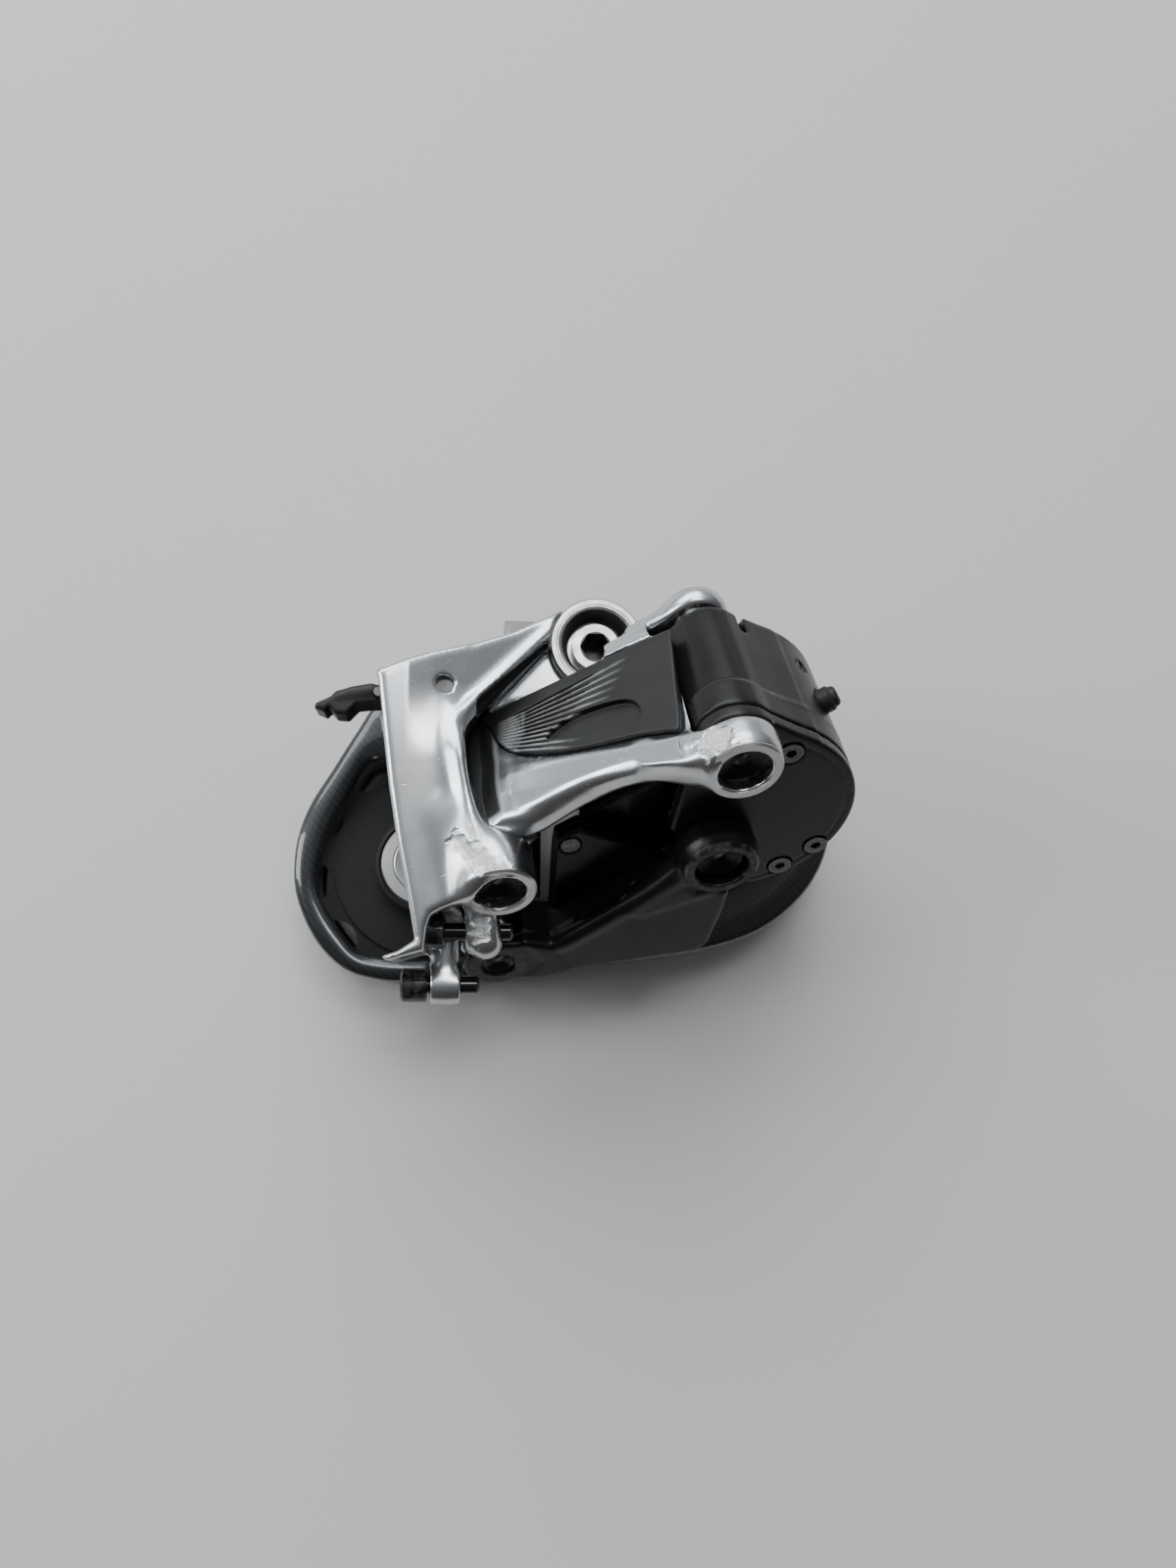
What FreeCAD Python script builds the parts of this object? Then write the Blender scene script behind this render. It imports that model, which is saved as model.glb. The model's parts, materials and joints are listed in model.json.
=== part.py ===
import FreeCAD, Part
import math
import os

import Sketcher
from FreeCAD import Placement, Rotation, Vector

# Rear derailleur, folded. Origin: hanger bolt axis at the hanger face; +Z points outboard.
os.makedirs("parts", exist_ok=True)
doc = FreeCAD.newDocument("RearDerailleur")
sheet = doc.addObject("Spreadsheet::Sheet", "Sizes")

SIZES = {
    "link_turn": 6.6, "link_tilt": 57.77, "link_spin": 32.15,
    "link_origin_x": -17.16, "link_origin_y": -45.72, "link_origin_z": 22.0,
    "link_length": 45.0, "inner_a": -13.4, "inner_b": -19.5,
    "pin_radius": 4.25, "running_gap": 0.05, "ear_radius": 6.1, "far_ear_radius": 5.4,
    "boss_radius": 8.6, "boss_height": 12.0, "bolt_radius": 5.0, "bolt_neck_radius": 4.6, "socket_across": 5.0,
    "cage_pivot_x": 34.0, "cage_pivot_y": -29.0,
    "guide_x": 22.0, "guide_y": -30.5, "tension_x": -31.0, "tension_y": -37.8,
    "pulley_teeth": 11, "chain_pitch": 12.7, "roller_radius": 4.1, "pulley_tip_radius": 22.8,
    "tooth_width": 2.3, "hub_width": 7.0, "pulley_mid_z": -19.0,
    "plate_thickness": 3.0, "outer_plate_z": -14.0, "inner_plate_z": -27.0,
    "housing_radius": 19.5, "housing_a": 38.3, "housing_b": -17.2,
    "axle_radius": 4.0, "screw_radius": 1.5, "motor_radius": 4.6, "motor_length": 13.0,
}
for row, (alias, value) in enumerate(SIZES.items(), 1):
    sheet.set("A%d" % row, alias)
    sheet.set("B%d" % row, str(value))
    sheet.setAlias("B%d" % row, alias)
doc.recompute()


def size(alias):
    return float(getattr(sheet, alias))


def link_frame():
    """Frame of the slant parallelogram: x along the outer link, z along its pivot axes."""
    turn = Rotation(Vector(0, 0, 1), size("link_turn"))
    tilt = Rotation(Vector(1, 0, 0), size("link_tilt"))
    spin = Rotation(Vector(0, 0, 1), size("link_spin"))
    origin = Vector(size("link_origin_x"), size("link_origin_y"), size("link_origin_z"))
    return Placement(origin, turn.multiply(tilt).multiply(spin))


LINK = link_frame()
HOME = Placement()
O1 = (0.0, 0.0)
O2 = (size("link_length"), 0.0)
I1 = (size("inner_a"), size("inner_b"))
I2 = (I1[0] + size("link_length"), I1[1])
HOUSING = (size("housing_a"), size("housing_b"))
CAGE = (size("cage_pivot_x"), size("cage_pivot_y"))
GUIDE = (size("guide_x"), size("guide_y"))
TENSION = (size("tension_x"), size("tension_y"))
PIN = size("pin_radius")
BORE = PIN + size("running_gap")
EAR = size("ear_radius")
parts = []


def place(item, label, placement):
    item.Label = label
    item.Placement = placement
    parts.append(item)
    return item


def feature(label, shape, placement=HOME):
    item = doc.addObject("Part::Feature", label)
    clean = shape.removeSplitter()
    if not clean.isValid():
        clean.fix(1e-3, 1e-3, 1e-2)
    item.Shape = clean
    return place(item, label, placement)


def rod(centre, radius, low, high):
    return Part.makeCylinder(radius, high - low, Vector(centre[0], centre[1], low))


def ring(centre, outer, inner, low, high):
    return rod(centre, outer, low, high).cut(rod(centre, inner, low, high))


def prism(points, low, high):
    corners = [Vector(x, y, low) for x, y in points]
    face = Part.Face(Part.makePolygon(corners + corners[:1]))
    return face.extrude(Vector(0, 0, high - low))


def slab(points, low, high):
    """Prism whose outline lies in x and z, thick along y."""
    corners = [Vector(x, low, z) for x, z in points]
    face = Part.Face(Part.makePolygon(corners + corners[:1]))
    return face.extrude(Vector(0, high - low, 0))


def joined(*shapes):
    return shapes[0].fuse(list(shapes[1:]))


def moved(shape, placement):
    result = shape.copy()
    result.Placement = placement.multiply(result.Placement)
    return result


def in_link(shape):
    return moved(shape, LINK)


def hull(start, start_radius, end, end_radius, low, high):
    """Flat bar with round ends, tangent to both rounds."""
    dx = end[0] - start[0]
    dy = end[1] - start[1]
    span = math.hypot(dx, dy)
    lean = math.acos((start_radius - end_radius) / span)
    heading = math.atan2(dy, dx)
    corners = []
    for centre, radius, side in ((start, start_radius, 1), (end, end_radius, 1),
                                 (end, end_radius, -1), (start, start_radius, -1)):
        angle = heading + side * lean
        corners.append((centre[0] + radius * math.cos(angle), centre[1] + radius * math.sin(angle)))
    return joined(prism(corners, low, high), rod(start, start_radius, low, high),
                  rod(end, end_radius, low, high))


def bind(item, name, expression):
    item.setExpression(name, expression)


def turned(label, steps, centre=(0, 0), frame=HOME, bore=None):
    """Turned piece: a body padded step by step, each step (radius, low, high) on the axis."""
    body = doc.addObject("PartDesign::Body", label)
    plane = [f for f in body.Origin.OriginFeatures if f.Role == "XY_Plane"][0]
    for index, (radius, low, high) in enumerate(steps):
        sketch = body.newObject("Sketcher::SketchObject", "%s_sketch_%d" % (label, index))
        sketch.AttachmentSupport = (plane, [""])
        sketch.MapMode = "FlatFace"
        sketch.AttachmentOffset = Placement(Vector(0, 0, low), Rotation())
        add_circle(sketch, radius)
        pad = body.newObject("PartDesign::Pad", "%s_pad_%d" % (label, index))
        pad.Profile = sketch
        pad.Length = high - low
    if bore:
        low = min(step[1] for step in steps)
        high = max(step[2] for step in steps)
        sketch = body.newObject("Sketcher::SketchObject", label + "_bore_sketch")
        sketch.AttachmentSupport = (plane, [""])
        sketch.MapMode = "FlatFace"
        sketch.AttachmentOffset = Placement(Vector(0, 0, high), Rotation())
        add_circle(sketch, bore)
        pocket = body.newObject("PartDesign::Pocket", label + "_bore")
        pocket.Profile = sketch
        pocket.Length = high - low
    return place(body, label, frame.multiply(Placement(Vector(centre[0], centre[1], 0), Rotation())))


def add_circle(sketch, radius):
    """A circle on the origin; a radius given as text is bound to the sheet."""
    bound = isinstance(radius, str)
    value = size(radius) if bound else radius
    sketch.addGeometry(Part.Circle(Vector(0, 0, 0), Vector(0, 0, 1), value), False)
    sketch.addConstraint(Sketcher.Constraint("Coincident", 0, 3, -1, 1))
    sketch.addConstraint(Sketcher.Constraint("Radius", 0, value))
    if bound:
        bind(sketch, "Constraints[1]", "Sizes." + radius)


def hexagon(across, low, high):
    corner = across / math.sqrt(3.0)
    points = [(corner * math.cos(math.radians(60 * k)), corner * math.sin(math.radians(60 * k)))
              for k in range(6)]
    return prism(points, low, high)


def hanger_bolt():
    thread = size("bolt_radius")
    neck = size("bolt_neck_radius")
    bolt = joined(rod((0, 0), thread, -9.5, 0.0), rod((0, 0), neck, 0.0, 5.0),
                  rod((0, 0), 6.6, 5.0, 7.0), rod((0, 0), 4.3, 7.0, 9.6))
    feature("hanger_bolt", bolt.cut(hexagon(size("socket_across"), 3.5, 9.6)))
    circlip = ring((0, 0), 6.2, neck + 0.02, 2.3, 3.1)
    feature("bolt_circlip", circlip.cut(prism([(0, -1.2), (8, -1.2), (8, 1.2), (0, 1.2)], 2, 4)))


def tab_washer():
    tab = prism([(-16.5, 2.0), (-6, -2), (-6, 7), (-16.5, 7.0)], 0.0, 1.9)
    stop = prism([(-16.5, 2.0), (-14.7, 2.0), (-14.7, 7.0), (-16.5, 7.0)], -3.6, 1.9)
    washer = joined(rod((0, 0), 9.6, 0.0, 1.9), tab, stop)
    feature("b_tab_washer", washer.cut(rod((0, 0), size("bolt_radius") + 0.05, -1, 2)))


def limit_screw(label, spot, tip, neck):
    """Adjusting screw along x: spot is (y, z), the head stands left of the neck."""
    head = 4.6
    along = Vector(1, 0, 0)
    screw = joined(Part.makeCylinder(size("screw_radius"), tip - neck, Vector(neck, *spot), along),
                   Part.makeCylinder(3.0, head, Vector(neck - head, *spot), along))
    socket = moved(hexagon(2.0, 0, 2.0), Placement(Vector(neck - head, *spot), Rotation(Vector(0, 1, 0), 90)))
    feature(label, screw.cut(socket))


LATCH = (-38.2, -11.8)
UPPER_SCREW = (-52.0, 12.0)
LOWER_SCREW = (-61.0, 6.0)


def b_knuckle():
    wall = prism([(-39.3, -8.5), (-29.7, -4.4), (-22.0, -2.0), (-22.0, -18), (-21.5, -36), (-18, -41),
                  (-20, -50), (-30, -51), (-32.6, -56.2), (-37.0, -57), (-35.5, -48), (-37.5, -25)], 0.2, 24)
    arm = prism([(-39.0, -8.5), (-29.7, -4.2), (-19.4, 0.6), (-4.6, 7.6), (2, 6), (2, -7),
                 (-8.5, -1.5), (-19.3, -14.9), (-24, -18.5)], 2.0, 14.5)
    shelf = prism([(-19.3, -14.5), (-15.5, -11.2), (0, -8.4), (2, -5), (-4.6, 7.6), (-19.4, 0.6)], 2.0, 11.0)
    rise = prism([(-39.0, -8.5), (-29.7, -4.4), (-19.4, 0.0), (-14.5, 1.5), (-19.3, -13.5), (-24, -18.5)],
                 14.0, 18.5)
    boss = rod((0, 0), size("boss_radius"), 2.0, 5.0)
    flange = rod((0, 0), size("boss_radius") + 1.2, 2.0, 3.6)
    ears = in_link(joined(rod(O1, EAR, -8.0, 0.8), rod(O1, EAR, -40.0, -34.3),
                          rod(I1, 5.6, -9.0, -4.0),
                          prism([(-18.5, -18), (-8.6, -19), (-6.5, -3), (-17, -1)], -9.0, -4.0)))
    upper = joined(Part.makeCylinder(3.5, 4.8, Vector(-22.7, *UPPER_SCREW), Vector(1, 0, 0)),
                   prism([(-22.7, -46), (-17.9, -46), (-17.9, -52), (-22.7, -52)], 8.5, 15.5))
    lower = joined(Part.makeCylinder(3.4, 5.4, Vector(-28.8, *LOWER_SCREW), Vector(1, 0, 0)),
                   prism([(-28.8, -49), (-23.4, -49), (-23.4, -61), (-28.8, -61)], 2.6, 9.4))
    body = joined(wall, arm, shelf, rise, boss, flange, ears, upper, lower)
    seat = prism([(-42, -50), (-29, -50), (-27.5, -14), (-42, -14)], 3.2, 20.5)
    slot = prism([(-42, -14.2), (-36.0, -14.2), (-36.0, -9.4), (-38.2, -7.0), (-42, -6.0)], 10.2, 17.4)
    swing = in_link(joined(rod(O1, 6.7, -34.2, -8.1),
                           prism([(3.2, 8.2), (3.2, 0), (-1, -6.7), (-4, -45), (75, -45), (75, 8.2)],
                                 -34.2, -8.1),
                           ring(O1, 62, 30.8, -42.6, -34.1)))
    inner_clear = in_link(joined(rod(I1, 6.9, -3.95, 14), rod(I1, 6.9, -14, -9.05),
                                 prism([(-6.9, -12), (-8, -26), (-30, -60), (40, -60), (40, -4), (-1, -4)],
                                       -14, 1.5)))
    bores = joined(rod((0, 0), size("bolt_radius") + 0.05, 0, 5), rod((0, 0), 6.4, 1.9, 3.5),
                   rod((0, 0), size("boss_radius"), 5.0, 30.0))
    pins = in_link(joined(rod(O1, BORE, -45, 2), rod(I1, BORE - 1.2, -12, 2)))
    screws = joined(Part.makeCylinder(1.55, 20, Vector(-32, *UPPER_SCREW), Vector(1, 0, 0)),
                    Part.makeCylinder(1.55, 20, Vector(-36, *LOWER_SCREW), Vector(1, 0, 0)),
                    Part.makeCylinder(3.2, 12, Vector(-34.7, *UPPER_SCREW), Vector(1, 0, 0)),
                    Part.makeCylinder(3.3, 8, Vector(-36.8, *LOWER_SCREW), Vector(1, 0, 0)),
                    rod(LATCH, 0.8, 8.0, 19.0), rod((-27.0, -10.5), 1.52, 12, 26))
    for tool in (seat, slot, swing, inner_clear, bores, pins, screws):
        body = body.cut(tool)
    feature("b_knuckle", body)
    collar = ring((0, 0), size("boss_radius"), 6.9, 5.0, 8.0)
    cone = rod((0, 0), size("boss_radius"), 8.0, size("boss_height"))
    cone = cone.cut(Part.makeCone(4.9, 7.3, 4.05, Vector(0, 0, 8)))
    feature("hanger_boss_collar", joined(collar, cone))


def battery_seat():
    block = prism([(-29.9, -49), (-29.05, -49), (-27.6, -15), (-31.5, -15)], 4.0, 19.8)
    holes = [rod((0, 0), 0.82, -4, 4) for _ in range(3)]
    cuts = []
    for index, hole in enumerate(holes):
        hole.Placement = Placement(Vector(-30, -28 - 4 * index, 12), Rotation(Vector(0, 1, 0), 90))
        cuts.append(hole)
    feature("battery_contact_block", block.cut(cuts))
    pins = [Part.makeCylinder(0.8, 1.6, Vector(-31.6, -28 - 4 * k, 12), Vector(1, 0, 0)) for k in range(3)]
    feature("battery_contact_pins", Part.makeCompound(pins))
    turned("latch_spring_pin", [(1.5, 12.2, 18.7)], (-27.0, -10.5))


def battery_latch():
    lever = prism([(-39.4, -10.2), (-43.2, -10.9), (-49.2, -13.6), (-47.4, -15.0), (-43.6, -15.4), (-41.6, -13.4),
                   (-38.6, -13.6), (-37.1, -13.4), (-37.1, -10.2)], 10.6, 17.0)
    feature("battery_latch", lever.cut([rod(LATCH, 0.85, 10, 18), rod(LATCH, 1.4, 10.0, 12.0)]))
    turned("latch_hinge_pin", [(0.79, 8.1, 18.9)], LATCH)
    coils = [Part.makeTorus(1.1, 0.2, Vector(LATCH[0], LATCH[1], 10.8 + 0.42 * k)) for k in range(3)]
    feature("latch_spring", Part.makeCompound(coils))


def pins():
    for label, centre, low, high, radius in (
            ("outer_pivot_pin_upper", O1, -39.6, -1.5, PIN), ("outer_pivot_pin_lower", O2, -38.6, -1.5, PIN),
            ("inner_pivot_pin_upper", I1, -11.4, -1.6, PIN - 1.2), ("inner_pivot_pin_lower", I2, -28.0, -1.4, PIN)):
        pin = rod(centre, radius, low, high)
        dish = Part.makeCone(0.6, radius - 0.7, 1.0, Vector(centre[0], centre[1], high - 1.0))
        feature(label, pin.cut(dish), LINK)


def bushings():
    sleeves = []
    for centre, low, high in ((O1, -33.9, -29), (O1, -13.4, -8.4)):
        sleeves.append(ring(centre, 4.95, BORE, low, high))
    feature("outer_link_bushings", Part.makeCompound(sleeves), LINK)


def outer_link():
    skin = slab([(4.3, -33.6), (43.4, -31.2), (40.2, -5.4), (36.0, -1.5), (29.1, -3.1), (21.2, -5.5),
                 (13.4, -6.3), (7.6, -8.3), (4.3, -8.3)], 3.4, 6.3)
    near_rail = slab([(4.3, -13.5), (34.0, -9.5), (33.0, -5.4), (21.2, -5.6), (13.4, -6.4), (8.0, -8.3),
                      (4.3, -8.3)], -2.2, 6.3)
    far_rail = slab([(4.3, -33.6), (33.5, -31.8), (33.5, -28.6), (4.3, -29.5)], -2.0, 6.3)
    cross = slab([(30.5, -31), (33.8, -31), (33.8, -9), (30.5, -9)], -1.2, 6.3)
    root = slab([(0, -33.9), (8, -33.9), (8, -8.3), (0, -8.3)], -3.0, 5.6)
    ear_near = joined(hull((24, 1.6), 4.2, O2, EAR, -5.3, -1.0), rod(O2, EAR, -5.3, 0.8))
    far_ear = size("far_ear_radius")
    ear_far = joined(hull((35.0, 1.8), 3.4, O2, far_ear, -37.6, -34.0), rod(O2, far_ear, -39.4, -34.0),
                     prism([(29.5, -1.2), (33.6, -1.2), (38.2, 6.2), (29.5, 6.2)], -34.2, -28.8))
    body = joined(rod(O1, EAR, -33.9, -8.4), skin, near_rail, far_rail, cross, root, ear_near, ear_far)
    cuts = [rod(O1, 5.0, -40, 0), rod(O2, BORE, -45, 4), rod(O2, 6.85, -33.9, -5.35),
            slab([(7.6, -31.6), (35.8, -29.6), (33.4, -13.6), (24.0, -15.6), (9.2, -21.4)], 5.2, 7.5)]
    feature("outer_link", body.cut(cuts), LINK)
    panel = slab([(7.75, -31.4), (35.6, -29.4), (33.3, -13.8), (24.0, -15.8), (9.35, -21.4)], 5.25, 6.3)
    window = slab([(16, -23.3), (19.2, -24.3), (25.8, -24.0), (31.8, -21.5), (32.6, -15.6), (30.3, -15.4),
                   (23.1, -17.6), (17.2, -21.2)], 5.75, 7)
    feature("outer_link_panel", panel.cut(window), LINK)
    insert = slab([(16.6, -23.2), (19.2, -24.0), (25.8, -23.7), (31.4, -21.3), (32.2, -15.9), (30.3, -15.7),
                   (23.1, -17.9), (17.4, -21.2)], 5.76, 6.1)
    feature("panel_window", insert, LINK)


BAR = [(-6.3, -17.0), (-3.0, -21.4), (24.0, -21.4), (24.6, -24.5), (29.4, -28.6), (26.2, -33.0), (19.0, -41.0),
       (16.2, -42.0), (-5.0, -30.5), (-9.5, -29.0), (-12.5, -26.0), (-7.0, -24.0)]
WEB = [(-2.8, -21.6), (2.4, -14.1), (7.6, -6.4), (9.2, -4.6), (14.0, -4.6), (22.5, -21.6)]


def inner_link():
    bar = joined(prism(BAR, -12.0, -1.0), rod(I1, 6.2, -3.8, -1.0), rod(I1, 6.2, -12.0, -9.2),
                 prism([I1, (-13.4, -13.3), (-6.0, -17.2), (-6, -28), (-13.4, -25.7)], -3.8, -1.0),
                 prism([I1, (-13.4, -13.3), (-6.0, -17.2), (-6, -28), (-13.4, -25.7)], -12.0, -9.2))
    web = prism(WEB, -12.0, -10.3)
    ear = joined(rod(I2, 6.5, -5.3, 1.0), prism([(14, -21.5), (25.0, -16.6), (29, -13.6), (31.6, -13.0),
                                                 (33.5, -25.7), (28, -27.2), (16, -23)], -5.3, -1.2))
    cuts = [rod(I1, PIN - 1.15, -14, 2), rod(I2, BORE + 0.25, -14, 4), rod(I2, 6.95, -14, -5.35),
            rod(I1, 6.3, -9.1, -3.9), rod((10.4, -7.6), 0.95, -13, -9)]
    feature("inner_link", joined(bar, web, ear).cut(cuts), LINK)
    cover = prism([(-2.4, -21.35), (2.6, -14.2), (7.8, -6.7), (9.3, -4.8), (13.8, -4.8), (22.2, -21.35)],
                  -10.28, -8.7)
    cover = cover.cut([rod((10.4, -7.6), 1.75, -9.9, -8), rod((10.4, -7.6), 0.95, -11, -8),
                       rod(I2, 7.0, -14, 4)])
    feature("inner_link_cover", cover, LINK)
    turned("inner_link_cover_screw", [(0.9, -12.0, -9.85), (1.7, -9.88, -8.5)], (10.4, -7.6), LINK)


def front_region(radius, low, high):
    """Part of the housing disc beside the inner link's sweep, with rounds about both pivots."""
    disc = rod(HOUSING, radius, low, high)
    away = prism([(31.6 - 4.6, -12.0), (39.9, 3.5), (30, 14), (0, 14), (0, -60), (31.0, -60), (31.0, -19.5),
                  (27.6, -17.9)], low - 1, high + 1)
    return joined(disc.cut(away), rod(O2, 6.2, low, high), rod(I2, 6.2, low, high))


def row_to_link(shape):
    return moved(shape, LINK.inverse())


def motor_housing():
    front = front_region(size("housing_radius"), -12.9, -8.05)
    deep = joined(rod(HOUSING, size("housing_radius"), -33.6, -12.5),
                  prism([(13.5, -26.5), (13.5, -5.5), (34, -5.5), (40, -30), (30, -34)], -31.0, -12.5))
    deep = deep.cut(prism([(10, -5.4), (31.8, -5.4), (39.9, 3.5), (36, 12), (10, 12)], -40, 0))
    boss = row_to_link(rod(CAGE, 10.5, -9.8, 4.0))
    body = joined(front, deep, rod(O2, 6.2, -33.6, -8.05), rod(I2, 6.2, -33.6, -8.05), boss)
    cavity = joined(rod(HOUSING, 17.0, -31.6, -8), prism([(15.2, -24.8), (15.2, -7.2), (30, -7.2), (30, -24.8)],
                                                        -29.4, -14.2))
    keep = joined(rod(O2, 6.2, -34, -8), rod(I2, 6.2, -34, -8), prism([(39.9, 3.5), (26.0, -16.5), (22, -12),
                  (30, 2)], -13.0, -8), row_to_link(rod(CAGE, 10.5, -9.8, 2.0)),
                  prism([(0, -60), (30.9, -60), (30.9, -19.5), (26, -16), (0, 0)], -14.2, -8))
    cavity = cavity.cut(keep)
    bores = [cavity, rod(O2, BORE, -45, 0), rod(I2, BORE, -28.0, 0),
             row_to_link(rod(CAGE, size("axle_radius") + 0.05, -12, 0.5)),
             row_to_link(ring(CAGE, 8.0, 5.4, -9.9, -2.0)),
             Part.makeCylinder(2.35, 12, Vector(50, -16.5, -20), Vector(1, 0, 0)),
             Part.makeCylinder(1.25, 12, Vector(50, -12.6, -26), Vector(1, 0, 0)),
             rod((51.1, -8.0), 0.85, -14, -8), rod((45.2, -33.0), 0.85, -14, -8), rod((37.8, -34.0), 0.85, -14, -8)]
    feature("motor_housing", body.cut(bores), LINK)


COVER_SCREWS = [(51.1, -8.0), (45.2, -33.0), (37.8, -34.0)]


def gearbox_cover():
    cover = front_region(size("housing_radius") - 0.3, -8.0, -5.5)
    cuts = [rod(O2, BORE, -9, 0), rod(I2, BORE, -9, 0)]
    for spot in COVER_SCREWS:
        cuts.append(rod(spot, 0.9, -9, 0))
        cuts.append(rod(spot, 2.15, -7.0, 0))
    feature("gearbox_cover", cover.cut(cuts), LINK)
    screws = []
    for spot in COVER_SCREWS:
        star = rod(spot, 0.9, -6.2, -5.3)
        screws.append(joined(rod(spot, 0.8, -13.5, -7.0), rod(spot, 2.05, -7.0, -5.3)).cut(star))
    feature("gearbox_cover_screws", Part.makeCompound(screws), LINK)


def gear(centre, teeth, tip, low, high, bore):
    wheel = ring(centre, tip, bore, low, high)
    notches = []
    for index in range(teeth):
        angle = 2 * math.pi * index / teeth
        spot = (centre[0] + tip * math.cos(angle), centre[1] + tip * math.sin(angle))
        notches.append(rod(spot, 0.9 * tip * math.pi / teeth / 2, low, high))
    return wheel.cut(notches)


MOTOR = (20.2, -16.0)
REDUCTION = (41.0, -13.0)


def drive():
    motor = rod(MOTOR, size("motor_radius"), -29.3, -29.3 + size("motor_length"))
    feature("drive_motor", joined(motor, rod(MOTOR, 0.75, -16.5, -14.4)), LINK)
    board = prism([(32, -30), (50, -26), (52, -10), (40, -6.8), (38, -13), (28.5, -27)], -31.5, -30.3)
    board = board.cut([rod(O2, 6.4, -33, -28), rod(I2, 6.4, -33, -28)])
    feature("control_board", board.cut(row_to_link(rod(CAGE, 10.8, -12, 2.6))), LINK)
    feature("reduction_gear", gear(REDUCTION, 24, 5.2, -13.5, -11.0, 1.05), LINK)
    turned("reduction_gear_shaft", [(1.0, -31.6 + 1.4, -8.1)], REDUCTION, LINK)
    feature("output_gear", gear((48.0, -20.5), 28, 4.6, -13.5, -11.0, 1.05), LINK)
    turned("output_gear_shaft", [(1.0, -31.6 + 1.4, -8.1)], (48.0, -20.5), LINK)
    lens = Part.makeCylinder(1.2, 2.4, Vector(54.6, -12.6, -26), Vector(1, 0, 0))
    feature("status_light_lens", lens.common(rod(HOUSING, size("housing_radius") - 0.05, -33, -9)), LINK)
    button = joined(Part.makeCylinder(2.3, 4.4, Vector(55.6, -16.5, -20), Vector(1, 0, 0)),
                    Part.makeCylinder(1.7, 0.5, Vector(60.0, -16.5, -20), Vector(1, 0, 0)))
    feature("function_button", button, LINK)


def cage_outline():
    """Outer edge of a cage plate: pointed loop round the tension pulley, lobe round the pivot."""
    def arc(a, b, c):
        return Part.Arc(Vector(*a), Vector(*b), Vector(*c)).toShape()

    def line(a, b):
        return Part.makeLine(Vector(*a), Vector(*b))
    top = (-44.2, -11.6, 0)
    left = (-55.9, -41, 0)
    low = (-44, -59.3, 0)
    heel = (22, -54.4, 0)
    right = (50.3, -27, 0)
    crown = (33, -12.3, 0)
    toe = (-37, -8.2, 0)
    return Part.Wire([arc(top, (-51.6, -25.3, 0), left), arc(left, (-53, -52, 0), low),
                      line(low, (-36, -60.4, 0)), line((-36, -60.4, 0), heel),
                      arc(heel, (43.2, -44, 0), right), arc(right, (45.5, -16.2, 0), crown),
                      line(crown, toe), line(toe, top)])


def cage_openings():
    bay = prism([(-22, -19.5), (-40.3, -18.1), (-44.7, -20.9), (-47.6, -27.4), (-49.8, -35), (-48.8, -42.3),
                 (-44.2, -49.4), (-39.2, -55.2), (-24, -56)], -30, -10)
    hub = hull(TENSION, 9.0, (-14, -37), 6.5, -31, -9)
    gap = prism([(-8.5, -17.5), (2, -17.0), (1.2, -30), (2, -51), (-8.5, -52)], -30, -10)
    slots = []
    for start in (150, 210):
        points = [(GUIDE[0] + r * math.cos(math.radians(start + t)), GUIDE[1] + r * math.sin(math.radians(start + t)))
                  for r, steps in ((13.0, range(0, 46, 9)), (17.5, range(45, -1, -9))) for t in steps]
        slots.append(prism(points, -30, -10))
    return [bay.cut(hub), gap] + slots


def cage_plates():
    thick = size("plate_thickness")
    face = Part.Face(cage_outline())
    openings = cage_openings()
    for label, low in (("cage_outer_plate", size("outer_plate_z")), ("cage_inner_plate", size("inner_plate_z"))):
        plate = face.extrude(Vector(0, 0, thick))
        plate.translate(Vector(0, 0, low))
        holes = [rod(spot, 2.5, -30, -10) for spot in (GUIDE, TENSION)]
        if label == "cage_outer_plate":
            holes.append(rod(CAGE, size("axle_radius") + 0.01, -30, -10))
        feature(label, plate.cut(openings + holes))
    bolts = []
    for x, y in (GUIDE, TENSION):
        bolts.append(joined(rod((x, y), 2.48, -28.0, -11.2), rod((x, y), 3.9, -28.2, -27.0)))
    feature("pulley_bolts", Part.makeCompound(bolts))
    turned("cage_pivot_axle", [("axle_radius", -14.0, -0.2)], CAGE)
    turned("cage_stop_pin", [(1.6, -24.0, -14.0)], (2.5, -13.2))
    feature("cage_seal", ring(CAGE, 10.2, 8.3, -10.9, -9.85))
    coils = [Part.makeTorus(6.7, 0.55, Vector(CAGE[0], CAGE[1], -8.6 + 1.4 * k)) for k in range(4)]
    feature("cage_spring", Part.makeCompound(coils))


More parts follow.
